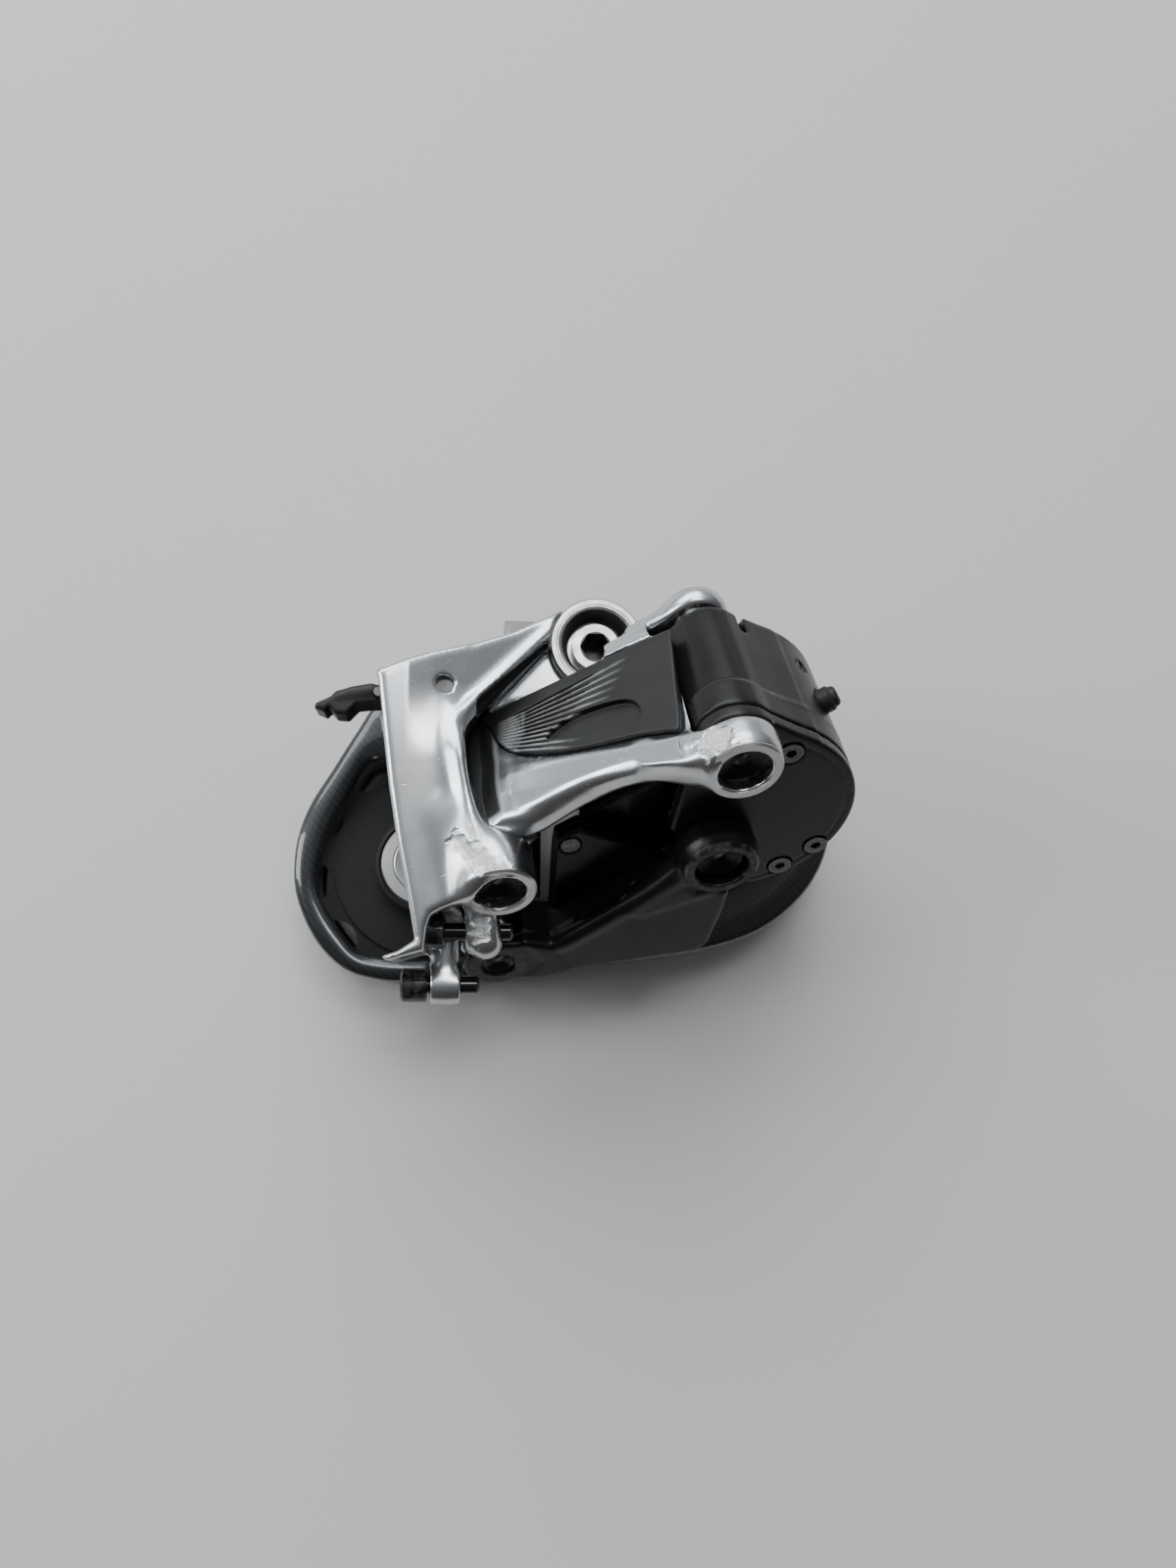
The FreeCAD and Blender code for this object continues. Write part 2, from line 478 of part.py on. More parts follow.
def pulley_body(label, centre):
    """Toothed pulley: hub, web and teeth in one body, roller seats repeated around it."""
    middle = size("pulley_mid_z")
    body = doc.addObject("PartDesign::Body", label)
    plane = [f for f in body.Origin.OriginFeatures if f.Role == "XY_Plane"][0]
    axis = [f for f in body.Origin.OriginFeatures if f.Role == "Z_Axis"][0]

    def layer(name, radius, width, kind, height=None, spot=(0, 0)):
        sketch = body.newObject("Sketcher::SketchObject", label + name)
        sketch.AttachmentSupport = (plane, [""])
        sketch.MapMode = "FlatFace"
        sketch.AttachmentOffset = Placement(Vector(0, 0, middle), Rotation())
        sketch.addGeometry(Part.Circle(Vector(spot[0], spot[1], 0), Vector(0, 0, 1), radius), False)
        sketch.addConstraint(Sketcher.Constraint("Radius", 0, radius))
        item = body.newObject("PartDesign::" + kind, label + name + kind)
        item.Profile = sketch
        item.SideType = "Symmetric"
        item.Length = width
        if height:
            bind(item, "Length", height)
        return item
    layer("_teeth", size("pulley_tip_radius"), size("tooth_width"), "Pad", "Sizes.tooth_width")
    layer("_web", 17.6, 4.4, "Pad")
    layer("_hub", 9.6, size("hub_width"), "Pad", "Sizes.hub_width")
    layer("_bore", 7.0, 20, "Pocket")
    pitch_radius = size("chain_pitch") / 2 / math.sin(math.pi / size("pulley_teeth"))
    seat = layer("_seat", size("roller_radius"), 20, "Pocket", None, (0, pitch_radius))
    pattern = body.newObject("PartDesign::PolarPattern", label + "_seats")
    pattern.Originals = [seat]
    pattern.Axis = (axis, [""])
    pattern.Angle = 360
    bind(pattern, "Occurrences", "Sizes.pulley_teeth")
    body.Tip = pattern
    doc.recompute()
    place(body, label, Placement(Vector(centre[0], centre[1], 0), Rotation()))


def pulleys():
    middle = size("pulley_mid_z")
    half = size("hub_width") / 2
    for name, centre in (("guide", GUIDE), ("tension", TENSION)):
        pulley_body(name + "_pulley", centre)
        turned(name + "_bearing", [(6.98, middle - 2.5, middle + 2.5)], centre, HOME, 4.05)
        feature(name + "_bearing_sleeve", ring(centre, 4.0, 2.5, -24.0, -14.0))
        caps = [ring(centre, 8.3, 4.02, middle + half + 0.1, -14.2),
                ring(centre, 8.3, 4.02, -23.8, middle - half - 0.1)]
        feature(name + "_bearing_caps", Part.makeCompound(caps))


def main():
    hanger_bolt()
    tab_washer()
    b_knuckle()
    limit_screw("limit_screw_high", UPPER_SCREW, -14.7, -26.2)
    limit_screw("limit_screw_low", LOWER_SCREW, -20.2, -29.2)
    battery_seat()
    battery_latch()
    pins()
    bushings()
    outer_link()
    inner_link()
    motor_housing()
    gearbox_cover()
    drive()
    cage_plates()
    pulleys()
    doc.recompute()
    for item in doc.Objects:
        if "Invalid" in item.State or "Error" in item.State:
            raise RuntimeError("%s failed: %s" % (item.Label, item.State))
    for item in parts:
        shape = item.Shape
        if shape.isNull() or not shape.isValid():
            raise RuntimeError("%s has no valid shape" % item.Label)
        shape.exportStep("parts/%s.step" % item.Label)
        print(item.Label, round(shape.Volume, 1), len(shape.Solids))


main()
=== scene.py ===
import json
import math

import bmesh
import bpy
import numpy as np
import openvdb
from mathutils import Matrix, Vector


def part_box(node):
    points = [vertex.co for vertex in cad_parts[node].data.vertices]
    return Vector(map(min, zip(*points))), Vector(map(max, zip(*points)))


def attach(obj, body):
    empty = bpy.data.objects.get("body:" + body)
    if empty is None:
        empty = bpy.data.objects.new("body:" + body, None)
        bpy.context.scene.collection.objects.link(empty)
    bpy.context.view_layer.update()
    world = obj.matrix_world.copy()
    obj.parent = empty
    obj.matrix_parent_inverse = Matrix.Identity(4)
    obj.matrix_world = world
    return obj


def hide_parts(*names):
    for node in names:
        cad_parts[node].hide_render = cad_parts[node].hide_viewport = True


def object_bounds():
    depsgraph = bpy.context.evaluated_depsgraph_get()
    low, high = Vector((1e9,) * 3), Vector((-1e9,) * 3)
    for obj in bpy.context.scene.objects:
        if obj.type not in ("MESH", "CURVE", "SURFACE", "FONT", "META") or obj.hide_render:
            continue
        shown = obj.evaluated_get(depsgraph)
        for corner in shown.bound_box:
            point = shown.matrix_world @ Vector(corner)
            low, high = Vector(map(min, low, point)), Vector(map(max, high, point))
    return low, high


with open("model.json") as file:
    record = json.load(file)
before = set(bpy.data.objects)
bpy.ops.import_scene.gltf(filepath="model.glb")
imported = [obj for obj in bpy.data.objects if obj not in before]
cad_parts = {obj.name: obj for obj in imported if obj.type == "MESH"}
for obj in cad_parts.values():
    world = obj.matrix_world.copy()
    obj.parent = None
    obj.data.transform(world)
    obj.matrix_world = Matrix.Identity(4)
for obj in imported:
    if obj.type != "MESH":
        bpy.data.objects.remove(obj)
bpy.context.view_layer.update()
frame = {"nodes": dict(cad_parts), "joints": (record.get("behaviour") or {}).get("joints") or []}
MM = 0.001

# ---------------------------------------------------------------- frames, in millimetres
# The slant parallelogram has a frame of its own: x along the outer link, z along its pivots.
LINK_TURN, LINK_TILT, LINK_SPIN = 6.6, 57.77, 32.15


def hinge(name):
    return [j for j in frame["joints"] if j["name"] == name][0]


def link_axes():
    turn = Matrix.Rotation(math.radians(LINK_TURN), 3, "Z")
    tilt = Matrix.Rotation(math.radians(LINK_TILT), 3, "X")
    spin = Matrix.Rotation(math.radians(LINK_SPIN), 3, "Z")
    return np.array(turn @ tilt @ spin)


LINK_ORIGIN = np.array(hinge("outer_link_swing")["pos_m"]) / MM
LINK_AXES = link_axes()
ROW = (np.zeros(3), np.eye(3))
LINK = (LINK_ORIGIN, LINK_AXES)
O1, O2 = (0.0, 0.0), (45.0, 0.0)
I1, I2 = (-13.4, -19.5), (31.6, -19.5)
CAGE = tuple(v / MM for v in hinge("cage_pivot")["pos_m"][:2])
GUIDE = tuple(v / MM for v in hinge("guide_pulley_spin")["pos_m"][:2])
TENSION = tuple(v / MM for v in hinge("tension_pulley_spin")["pos_m"][:2])
HOUSING, HOUSING_RADIUS = (38.3, -17.2), 19.45
TOP_CORNER, TOP_CORNER_RADIUS = (45.6, -0.8), 5.5
EAR = 6.1
BORE = 4.3


# ---------------------------------------------------------------- distance fields, negative inside
def blend_join(a, b, k=1.0):
    mix = np.clip(0.5 + 0.5 * (b - a) / k, 0, 1)
    return b * (1 - mix) + a * mix - k * mix * (1 - mix)


def blend_cut(a, tool, k=0.4):
    return -blend_join(-a, tool, k)


def blend_both(a, b, k=0.4):
    return -blend_join(-a, -b, k)


def join_all(k, *fields):
    total = fields[0]
    for field in fields[1:]:
        total = blend_join(total, field, k)
    return total


def thick(flat, height, low, high, edge=0.5):
    """Extrudes a flat field between two heights, with rounded edges."""
    rise = np.abs(height - (low + high) / 2) - (high - low) / 2 + edge
    side = flat + edge
    outside = np.sqrt(np.maximum(side, 0) ** 2 + np.maximum(rise, 0) ** 2)
    return np.minimum(np.maximum(side, rise), 0) + outside - edge


def circle(x, y, centre, radius):
    return np.hypot(x - centre[0], y - centre[1]) - radius


def polygon(x, y, points):
    """Signed distance to a closed polygon."""
    nearest = np.full(np.broadcast(x, y).shape, 1e9, dtype=np.float32)
    inside = np.zeros(nearest.shape, dtype=bool)
    count = len(points)
    for i in range(count):
        ax, ay = points[i]
        bx, by = points[(i + 1) % count]
        ex, ey = bx - ax, by - ay
        px, py = x - ax, y - ay
        along = np.clip((px * ex + py * ey) / (ex * ex + ey * ey), 0, 1)
        nearest = np.minimum(nearest, (px - ex * along) ** 2 + (py - ey * along) ** 2)
        if ey != 0:
            inside ^= ((ay > y) != (by > y)) & (x < ax + ex * (y - ay) / ey)
    distance = np.sqrt(nearest)
    return np.where(inside, -distance, distance)


def smooth_loop(points, steps=5):
    """Closed curve through the points, as a finer polygon."""
    points = np.array(points, float)
    count = len(points)
    fine = []
    for i in range(count):
        p0, p1, p2, p3 = (points[(i + k) % count] for k in (-1, 0, 1, 2))
        for t in np.arange(steps) / steps:
            fine.append(tuple(0.5 * (2 * p1 + (p2 - p0) * t + (2 * p0 - 5 * p1 + 4 * p2 - p3) * t * t +
                                     (3 * p1 - p0 - 3 * p2 + p3) * t ** 3)))
    return fine


def capsule(p, start, end, r0, r1=None):
    r1 = r0 if r1 is None else r1
    start, end = np.array(start, float), np.array(end, float)
    span = end - start
    t = sum((p[i] - start[i]) * span[i] for i in range(3)) / float(span @ span)
    t = np.clip(t, 0, 1)
    away = sum((p[i] - start[i] - span[i] * t) ** 2 for i in range(3))
    return np.sqrt(away) - (r0 + (r1 - r0) * t)


def bar(x, y, start, end, r0, r1=None):
    """Flat field of a bar with round ends."""
    r1 = r0 if r1 is None else r1
    sx, sy = end[0] - start[0], end[1] - start[1]
    t = np.clip(((x - start[0]) * sx + (y - start[1]) * sy) / (sx * sx + sy * sy), 0, 1)
    return np.hypot(x - start[0] - sx * t, y - start[1] - sy * t) - (r0 + (r1 - r0) * t)


def to_link(p):
    d = [p[i] - LINK_ORIGIN[i] for i in range(3)]
    return [sum(d[i] * LINK_AXES[i][j] for i in range(3)) for j in range(3)]


def to_row(p):
    return [LINK_ORIGIN[i] + sum(p[j] * LINK_AXES[i][j] for j in range(3)) for i in range(3)]


# ---------------------------------------------------------------- turning fields and profiles into pieces
def finish_mesh(name, points, faces, where, body, smooth=True):
    origin, axes = where
    placed = (origin + np.asarray(points, float) @ axes.T) * MM
    mesh = bpy.data.meshes.new(name)
    mesh.from_pydata(placed.tolist(), [], faces)
    mesh.update()
    if smooth:
        mesh.polygons.foreach_set("use_smooth", [True] * len(mesh.polygons))
    piece = bpy.data.objects.new(name, mesh)
    bpy.context.scene.collection.objects.link(piece)
    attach(piece, body)
    return piece


def cast(name, field, low, high, cell, where, body, relax=2):
    """A closed smooth skin where the field is zero, inside the box low..high."""
    steps = [np.arange(low[i] - 2 * cell, high[i] + 2 * cell, cell, dtype=np.float32) for i in range(3)]
    p = np.meshgrid(*steps, indexing="ij")
    values = np.ascontiguousarray(field(p).astype(np.float32))
    grid = openvdb.FloatGrid(background=3.0)
    grid.copyFromArray(np.clip(values, -3.0, 3.0))
    points, triangles, quads = grid.convertToPolygons(isovalue=0.0, adaptivity=0.0)
    points = np.array([s[0] for s in steps]) + points * cell
    faces = [tuple(int(i) for i in reversed(f)) for f in list(triangles) + list(quads)]
    piece = finish_mesh(name, points, faces, where, body)
    if relax:
        soften = piece.modifiers.new("relax", "SMOOTH")
        soften.factor = 0.5
        soften.iterations = relax
    return piece


def lathe(name, profile, centre, where, body, segments=96):
    """Closed ring turned about the frame's z axis from (radius, height) points."""
    points, faces = [], []
    count = len(profile)
    for k in range(segments):
        angle = 2 * math.pi * k / segments
        for radius, height in profile:
            points.append((centre[0] + radius * math.cos(angle), centre[1] + radius * math.sin(angle),
                           height))
    for k in range(segments):
        other = (k + 1) % segments
        for i in range(count):
            j = (i + 1) % count
            faces.append((k * count + i, other * count + i, other * count + j, k * count + j))
    piece = finish_mesh(name, points, faces, where, body)
    fix_normals(piece)
    piece.data.set_sharp_from_angle(angle=math.radians(28))
    return piece


def fix_normals(piece):
    shape = bmesh.new()
    shape.from_mesh(piece.data)
    bmesh.ops.recalc_face_normals(shape, faces=shape.faces)
    shape.to_mesh(piece.data)
    shape.free()


def paint(piece, name, function, where):
    """Stores a value per point, worked out in the piece's own frame, for its material."""
    origin, axes = where
    count = len(piece.data.vertices)
    co = np.empty(count * 3)
    piece.data.vertices.foreach_get("co", co)
    local = (co.reshape(-1, 3) / MM - origin) @ axes
    values = function(local[:, 0], local[:, 1], local[:, 2])
    layer = piece.data.attributes.new(name, "FLOAT", "POINT")
    layer.data.foreach_set("value", np.asarray(values, np.float32))


# ---------------------------------------------------------------- materials
class Nodes:
    """Short names for building a material's nodes."""

    def __init__(self, name):
        self.material = bpy.data.materials.new(name)
        self.material.use_nodes = True
        self.tree = self.material.node_tree
        self.shader = self.tree.nodes["Principled BSDF"]
        self.place = self.add("ShaderNodeTexCoord").outputs["Object"]
        self.bump_out = None

    def add(self, kind, **settings):
        node = self.tree.nodes.new(kind)
        for key, value in settings.items():
            setattr(node, key, value)
        return node

    def link(self, source, target):
        if hasattr(source, "is_output") or hasattr(source, "links"):
            self.tree.links.new(source, target)
        else:
            target.default_value = source

    def stretch(self, scale, turn=(0, 0, 0)):
        mapping = self.add("ShaderNodeMapping")
        self.link(self.place, mapping.inputs["Vector"])
        mapping.inputs["Scale"].default_value = scale
        mapping.inputs["Rotation"].default_value = turn
        return mapping.outputs["Vector"]

    def noise(self, scale, detail=4.0, vector=None, rough=0.6):
        node = self.add("ShaderNodeTexNoise")
        self.link(vector or self.place, node.inputs["Vector"])
        node.inputs["Scale"].default_value = scale
        node.inputs["Detail"].default_value = detail
        node.inputs["Roughness"].default_value = rough
        return node.outputs["Fac"]

    def span(self, value, low, high, out_low=0.0, out_high=1.0):
        node = self.add("ShaderNodeMapRange")
        node.clamp = True
        self.link(value, node.inputs["Value"])
        for name, number in (("From Min", low), ("From Max", high), ("To Min", out_low),
                             ("To Max", out_high)):
            node.inputs[name].default_value = number
        return node.outputs["Result"]

    def sums(self, operation, a, b):
        node = self.add("ShaderNodeMath", operation=operation)
        self.link(a, node.inputs[0])
        self.link(b, node.inputs[1])
        return node.outputs[0]

    def mix(self, factor, a, b):
        node = self.add("ShaderNodeMix", data_type="RGBA")
        self.link(factor, node.inputs["Factor"])
        self.link(a, node.inputs["A"])
        self.link(b, node.inputs["B"])
        return node.outputs["Result"]

    def point_value(self, name):
        node = self.add("ShaderNodeAttribute", attribute_name=name, attribute_type="GEOMETRY")
        return node.outputs["Fac"]

    def edges(self, low=0.52, high=0.6):
        node = self.add("ShaderNodeNewGeometry")
        return self.span(node.outputs["Pointiness"], low, high)

    def bump(self, height, strength, depth):
        node = self.add("ShaderNodeBump")
        node.inputs["Strength"].default_value = strength
        node.inputs["Distance"].default_value = depth
        self.link(height, node.inputs["Height"])
        if self.bump_out is not None:
            self.link(self.bump_out, node.inputs["Normal"])
        self.bump_out = node.outputs["Normal"]
        self.link(self.bump_out, self.shader.inputs["Normal"])

    def set(self, **values):
        names = {"color": "Base Color", "metal": "Metallic", "rough": "Roughness", "coat": "Coat Weight",
                 "coat_rough": "Coat Roughness", "specular": "Specular IOR Level"}
        for key, value in values.items():
            self.link(value, self.shader.inputs[names[key]])


def grey(level, warm=0.0):
    return (level * (1 + warm), level, level * (1 - warm), 1.0)


def scratches(n, scale, turn, low=0.72):
    """Thin broken lines: a stretched noise cut off high up."""
    lines = n.noise(scale, 2.0, n.stretch((1.0, 26.0, 26.0), turn), 0.4)
    patches = n.span(n.noise(160.0, 2.0), 0.5, 0.62)
    return n.sums("MULTIPLY", n.span(lines, low, low + 0.05), patches)


def polished_alloy():
    n = Nodes("polished_alloy")
    cloud = n.noise(140.0, 5.0)
    fine = n.noise(2600.0, 3.0)
    marks = n.sums("MAXIMUM", scratches(n, 95.0, (0.3, 0.2, 0.4)), scratches(n, 120.0, (0.9, -0.4, 2.0)))
    worn = n.point_value("worn")
    tint = n.mix(n.span(cloud, 0.35, 0.7), grey(0.62, -0.02), grey(0.50, -0.03))
    tint = n.mix(n.sums("MULTIPLY", worn, 0.6), tint, grey(0.80))
    base = n.span(cloud, 0.3, 0.75, 0.19, 0.32)
    rough = n.sums("ADD", base, n.sums("MULTIPLY", marks, 0.3))
    rough = n.sums("ADD", rough, n.sums("MULTIPLY", worn, 0.16))
    # painted shade: where this value is set, the alloy goes near black, less metallic and rougher
    painted_shade = n.point_value("painted_shade")
    tint = n.mix(painted_shade, tint, grey(0.012))
    rough = n.sums("ADD", rough, n.sums("MULTIPLY", painted_shade, 0.3))
    n.set(color=tint, metal=n.sums("SUBTRACT", 1.0, n.sums("MULTIPLY", painted_shade, 0.6)), rough=rough)
    crumple = n.noise(900.0, 4.0, None, 0.7)
    n.bump(n.sums("MULTIPLY", crumple, worn), 0.9, 0.0009)
    n.bump(n.sums("MULTIPLY", marks, -1.0), 0.35, 0.00012)
    n.bump(fine, 0.10, 0.00006)
    return n.material


def turned_alloy(name, level=0.75, roughness=0.22, centre=None):
    """Bright turned metal with fine concentric tool lines about a point, in millimetres."""
    n = Nodes(name)
    place = n.place
    if centre is not None:
        move = n.add("ShaderNodeVectorMath", operation="SUBTRACT")
        n.link(place, move.inputs[0])
        move.inputs[1].default_value = (centre[0] * MM, centre[1] * MM, 0)
        place = move.outputs[0]
    wave = n.add("ShaderNodeTexWave", wave_type="RINGS", rings_direction="Z")
    n.link(place, wave.inputs["Vector"])
    wave.inputs["Scale"].default_value = 900.0
    wave.inputs["Distortion"].default_value = 0.6
    wave.inputs["Detail"].default_value = 1.0
    cloud = n.noise(420.0, 4.0)
    n.set(color=n.mix(cloud, grey(level), grey(level * 0.8)), metal=1.0,
          rough=n.span(cloud, 0.3, 0.7, roughness, roughness + 0.14))
    n.bump(wave.outputs["Fac"], 0.16, 0.00006)
    n.bump(n.noise(3000.0, 2.0), 0.1, 0.00004)
    return n.material


def bolt_metal():
    """Plated steel, with painted shade down in its socket."""
    n = Nodes("bolt_metal")
    split = n.add("ShaderNodeSeparateXYZ")
    n.link(n.place, split.inputs[0])
    across = n.sums("ADD", n.sums("MULTIPLY", split.outputs[0], split.outputs[0]),
                    n.sums("MULTIPLY", split.outputs[1], split.outputs[1]))
    # painted shade: near black and not metallic inside the socket's radius
    inside = n.span(across, 8.6e-6, 8.0e-6)
    cloud = n.noise(500.0, 4.0)
    color = n.mix(inside, n.mix(cloud, grey(0.62), grey(0.45)), grey(0.015))
    n.set(color=color, metal=n.sums("SUBTRACT", 1.0, inside), rough=n.span(cloud, 0.3, 0.7, 0.24, 0.4))
    n.bump(n.noise(1800.0, 3.0), 0.2, 0.00006)
    return n.material


def coated(name, level, roughness, wear=0.5, grain=2200.0, warm=0.0, metal=0.0, coat=0.0,
           edge=(0.53, 0.62)):
    """Dark satin coating on metal: mottled sheen, fine grain, dull bright metal at worn edges."""
    n = Nodes(name)
    cloud = n.noise(110.0, 5.0)
    rub = n.sums("MULTIPLY", n.edges(*edge), n.span(n.noise(700.0, 5.0), 0.42, 0.66))
    rub = n.sums("MULTIPLY", rub, wear)
    marks = scratches(n, 110.0, (0.5, 0.1, 0.9), 0.74)
    base = n.mix(n.span(cloud, 0.35, 0.7), grey(level, warm), grey(level * 1.5, warm))
    color = n.mix(rub, base, grey(0.42))
    color = n.mix(n.sums("MULTIPLY", marks, 0.45), color, grey(0.22))
    rough = n.span(cloud, 0.3, 0.72, roughness - 0.05, roughness + 0.09)
    n.set(color=color, metal=n.sums("MAXIMUM", rub, metal), rough=rough, coat=coat, coat_rough=0.12,
          specular=0.28)
    n.bump(n.noise(grain, 3.0), 0.22, 0.00008)
    n.bump(n.sums("MULTIPLY", marks, -1.0), 0.3, 0.0001)
    return n.material


def ribbed_panel():
    """Satin dark panel; the cut fan lines show bare metal."""
    n = Nodes("ribbed_panel")
    cut = n.point_value("cut")
    cloud = n.noise(180.0, 5.0)
    worn = n.span(n.noise(260.0, 3.0), 0.35, 0.6, 0.35, 1.0)
    bare = n.sums("MULTIPLY", cut, worn)
    color = n.mix(bare, n.mix(cloud, grey(0.016), grey(0.026)), grey(0.3))
    n.set(color=color, metal=n.sums("MAXIMUM", bare, 0.35), rough=n.span(cloud, 0.3, 0.7, 0.36, 0.48),
          specular=0.35)
    n.bump(n.noise(2400.0, 3.0), 0.25, 0.00008)
    return n.material


def clear_carbon():
    """Dark composite under glossy clear coat, with faint fibre lines."""
    n = Nodes("clear_carbon")
    weave = n.add("ShaderNodeTexWave", wave_type="BANDS", bands_direction="DIAGONAL")
    n.link(n.stretch((1.0, 1.0, 0.2)), weave.inputs["Vector"])
    weave.inputs["Scale"].default_value = 380.0
    weave.inputs["Distortion"].default_value = 2.0
    weave.inputs["Detail"].default_value = 2.0
    cloud = n.noise(90.0, 4.0)
    base = n.mix(weave.outputs["Fac"], grey(0.012, -0.08), grey(0.022, -0.10))
    n.set(color=base, metal=0.25, rough=n.span(cloud, 0.3, 0.7, 0.24, 0.36), coat=1.0, coat_rough=0.06)
    n.bump(cloud, 0.12, 0.0004)
    n.bump(scratches(n, 100.0, (0.2, 0.1, 0.3), 0.75), 0.2, 0.00006)
    return n.material


def plastic(name, level, roughness, grain=1800.0, tint=None):
    n = Nodes(name)
    cloud = n.noise(240.0, 4.0)
    low = tint or grey(level)
    high = tuple(min(1.0, c * 1.5) for c in low[:3]) + (1.0,)
    n.set(color=n.mix(cloud, low, high), rough=n.span(cloud, 0.3, 0.7, roughness - 0.05, roughness + 0.08),
          specular=0.3)
    n.bump(n.noise(grain, 3.0), 0.3, 0.00009)
    return n.material


def steel(name, level, roughness, warm=0.0):
    n = Nodes(name)
    cloud = n.noise(500.0, 5.0)
    lines = n.noise(300.0, 3.0, n.stretch((1, 1, 14.0)))
    color = n.mix(cloud, grey(level, warm), grey(level * 0.72, warm))
    n.set(color=color, metal=1.0, rough=n.span(lines, 0.3, 0.7, roughness, roughness + 0.16))
    n.bump(lines, 0.18, 0.00006)
    return n.material


ALLOY = polished_alloy()
BOLT = bolt_metal()
TURNED = turned_alloy("turned_alloy", 0.55, 0.24)
TURNED_DARK = turned_alloy("turned_dark", 0.17, 0.34)
HOUSING_BLACK = coated("housing_black", 0.0045, 0.30, 0.3, 2000.0)
COVER_BLACK = coated("cover_black", 0.008, 0.30, 0.4, 2600.0, 0.12)
LINK_BLACK = coated("link_black", 0.005, 0.32, 0.35, 2000.0, -0.04)
PANEL = ribbed_panel()
CARBON = clear_carbon()
PIN_BLACK = coated("pin_black", 0.018, 0.26, 0.7, 2600.0, 0.12, 0.7)
SCREW_BLACK = coated("screw_black", 0.006, 0.16, 0.4, 2600.0, 0.0, 0.2, 0.6)
PLASTIC_BLACK = plastic("plastic_black", 0.011, 0.46)
PULLEY_BLACK = plastic("pulley_black", 0.008, 0.42, 1500.0)
WINDOW_BLACK = plastic("window_black", 0.003, 0.4, 900.0)
STEEL = steel("steel", 0.62, 0.24)
STEEL_DARK = steel("steel_dark", 0.16, 0.3)
CAP_SILVER = turned_alloy("cap_silver", 0.72, 0.3, TENSION)
BRASS = plastic("contact_gold", 0.5, 0.25, 1500.0, (0.75, 0.52, 0.16, 1.0))
BOARD = plastic("board_green", 0.05, 0.4, 1500.0, (0.01, 0.07, 0.03, 1.0))
LENS = plastic("status_lens", 0.03, 0.12, 900.0)
RUBBER = plastic("seal_rubber", 0.012, 0.62, 1500.0)
GEAR = plastic("gear_brass", 0.5, 0.35, 1500.0, (0.6, 0.42, 0.14, 1.0))


def dress(piece, material):
    piece.data.materials.clear()
    piece.data.materials.append(material)
    return piece


def dress_node(name, material, bevel=0.0, segments=2):
    """Gives a carried-over CAD node its material and, where it has hard corners, small rounds."""
    piece = dress(frame["nodes"][name], material)
    if bevel:
        rounding = piece.modifiers.new("rounding", "BEVEL")
        rounding.width = bevel * MM
        rounding.segments = segments
        rounding.limit_method = "ANGLE"
        rounding.angle_limit = math.radians(35)
        rounding.harden_normals = False
    return piece


# ---------------------------------------------------------------- hanger knuckle
WALL = [(-38.6, -8.9), (-29.6, -4.8), (-23.0, -2.8), (-20.6, -10.0), (-23.3, -17.3), (-22.6, -25.3),
        (-20.6, -35.0), (-18.4, -42.0), (-22.2, -46.3), (-25.4, -48.5), (-28.0, -49.9), (-28.6, -51.6),
        (-29.0, -55.8), (-35.2, -57.5), (-36.9, -56.3), (-33.6, -55.2), (-31.2, -53.6), (-32.7, -46.0),
        (-34.5, -37.6), (-36.1, -28.1), (-37.4, -18.3)]
ARM = [(-38.5, -8.9), (-26.4, -4.0), (-15.3, 0.9), (-4.8, 7.2), (1.0, 5.0), (1.0, -1.0), (-9.4, -2.0),
       (-19.6, -13.4), (-23.4, -18.5)]
SHELF = [(-21.0, -14.8), (-15.5, -11.4), (0.0, -8.4), (2.0, -5.0), (-4.6, 7.0), (-19.4, 0.6)]
UPPER_SCREW = (-52.0, 12.0)
LOWER_SCREW = (-61.0, 6.0)


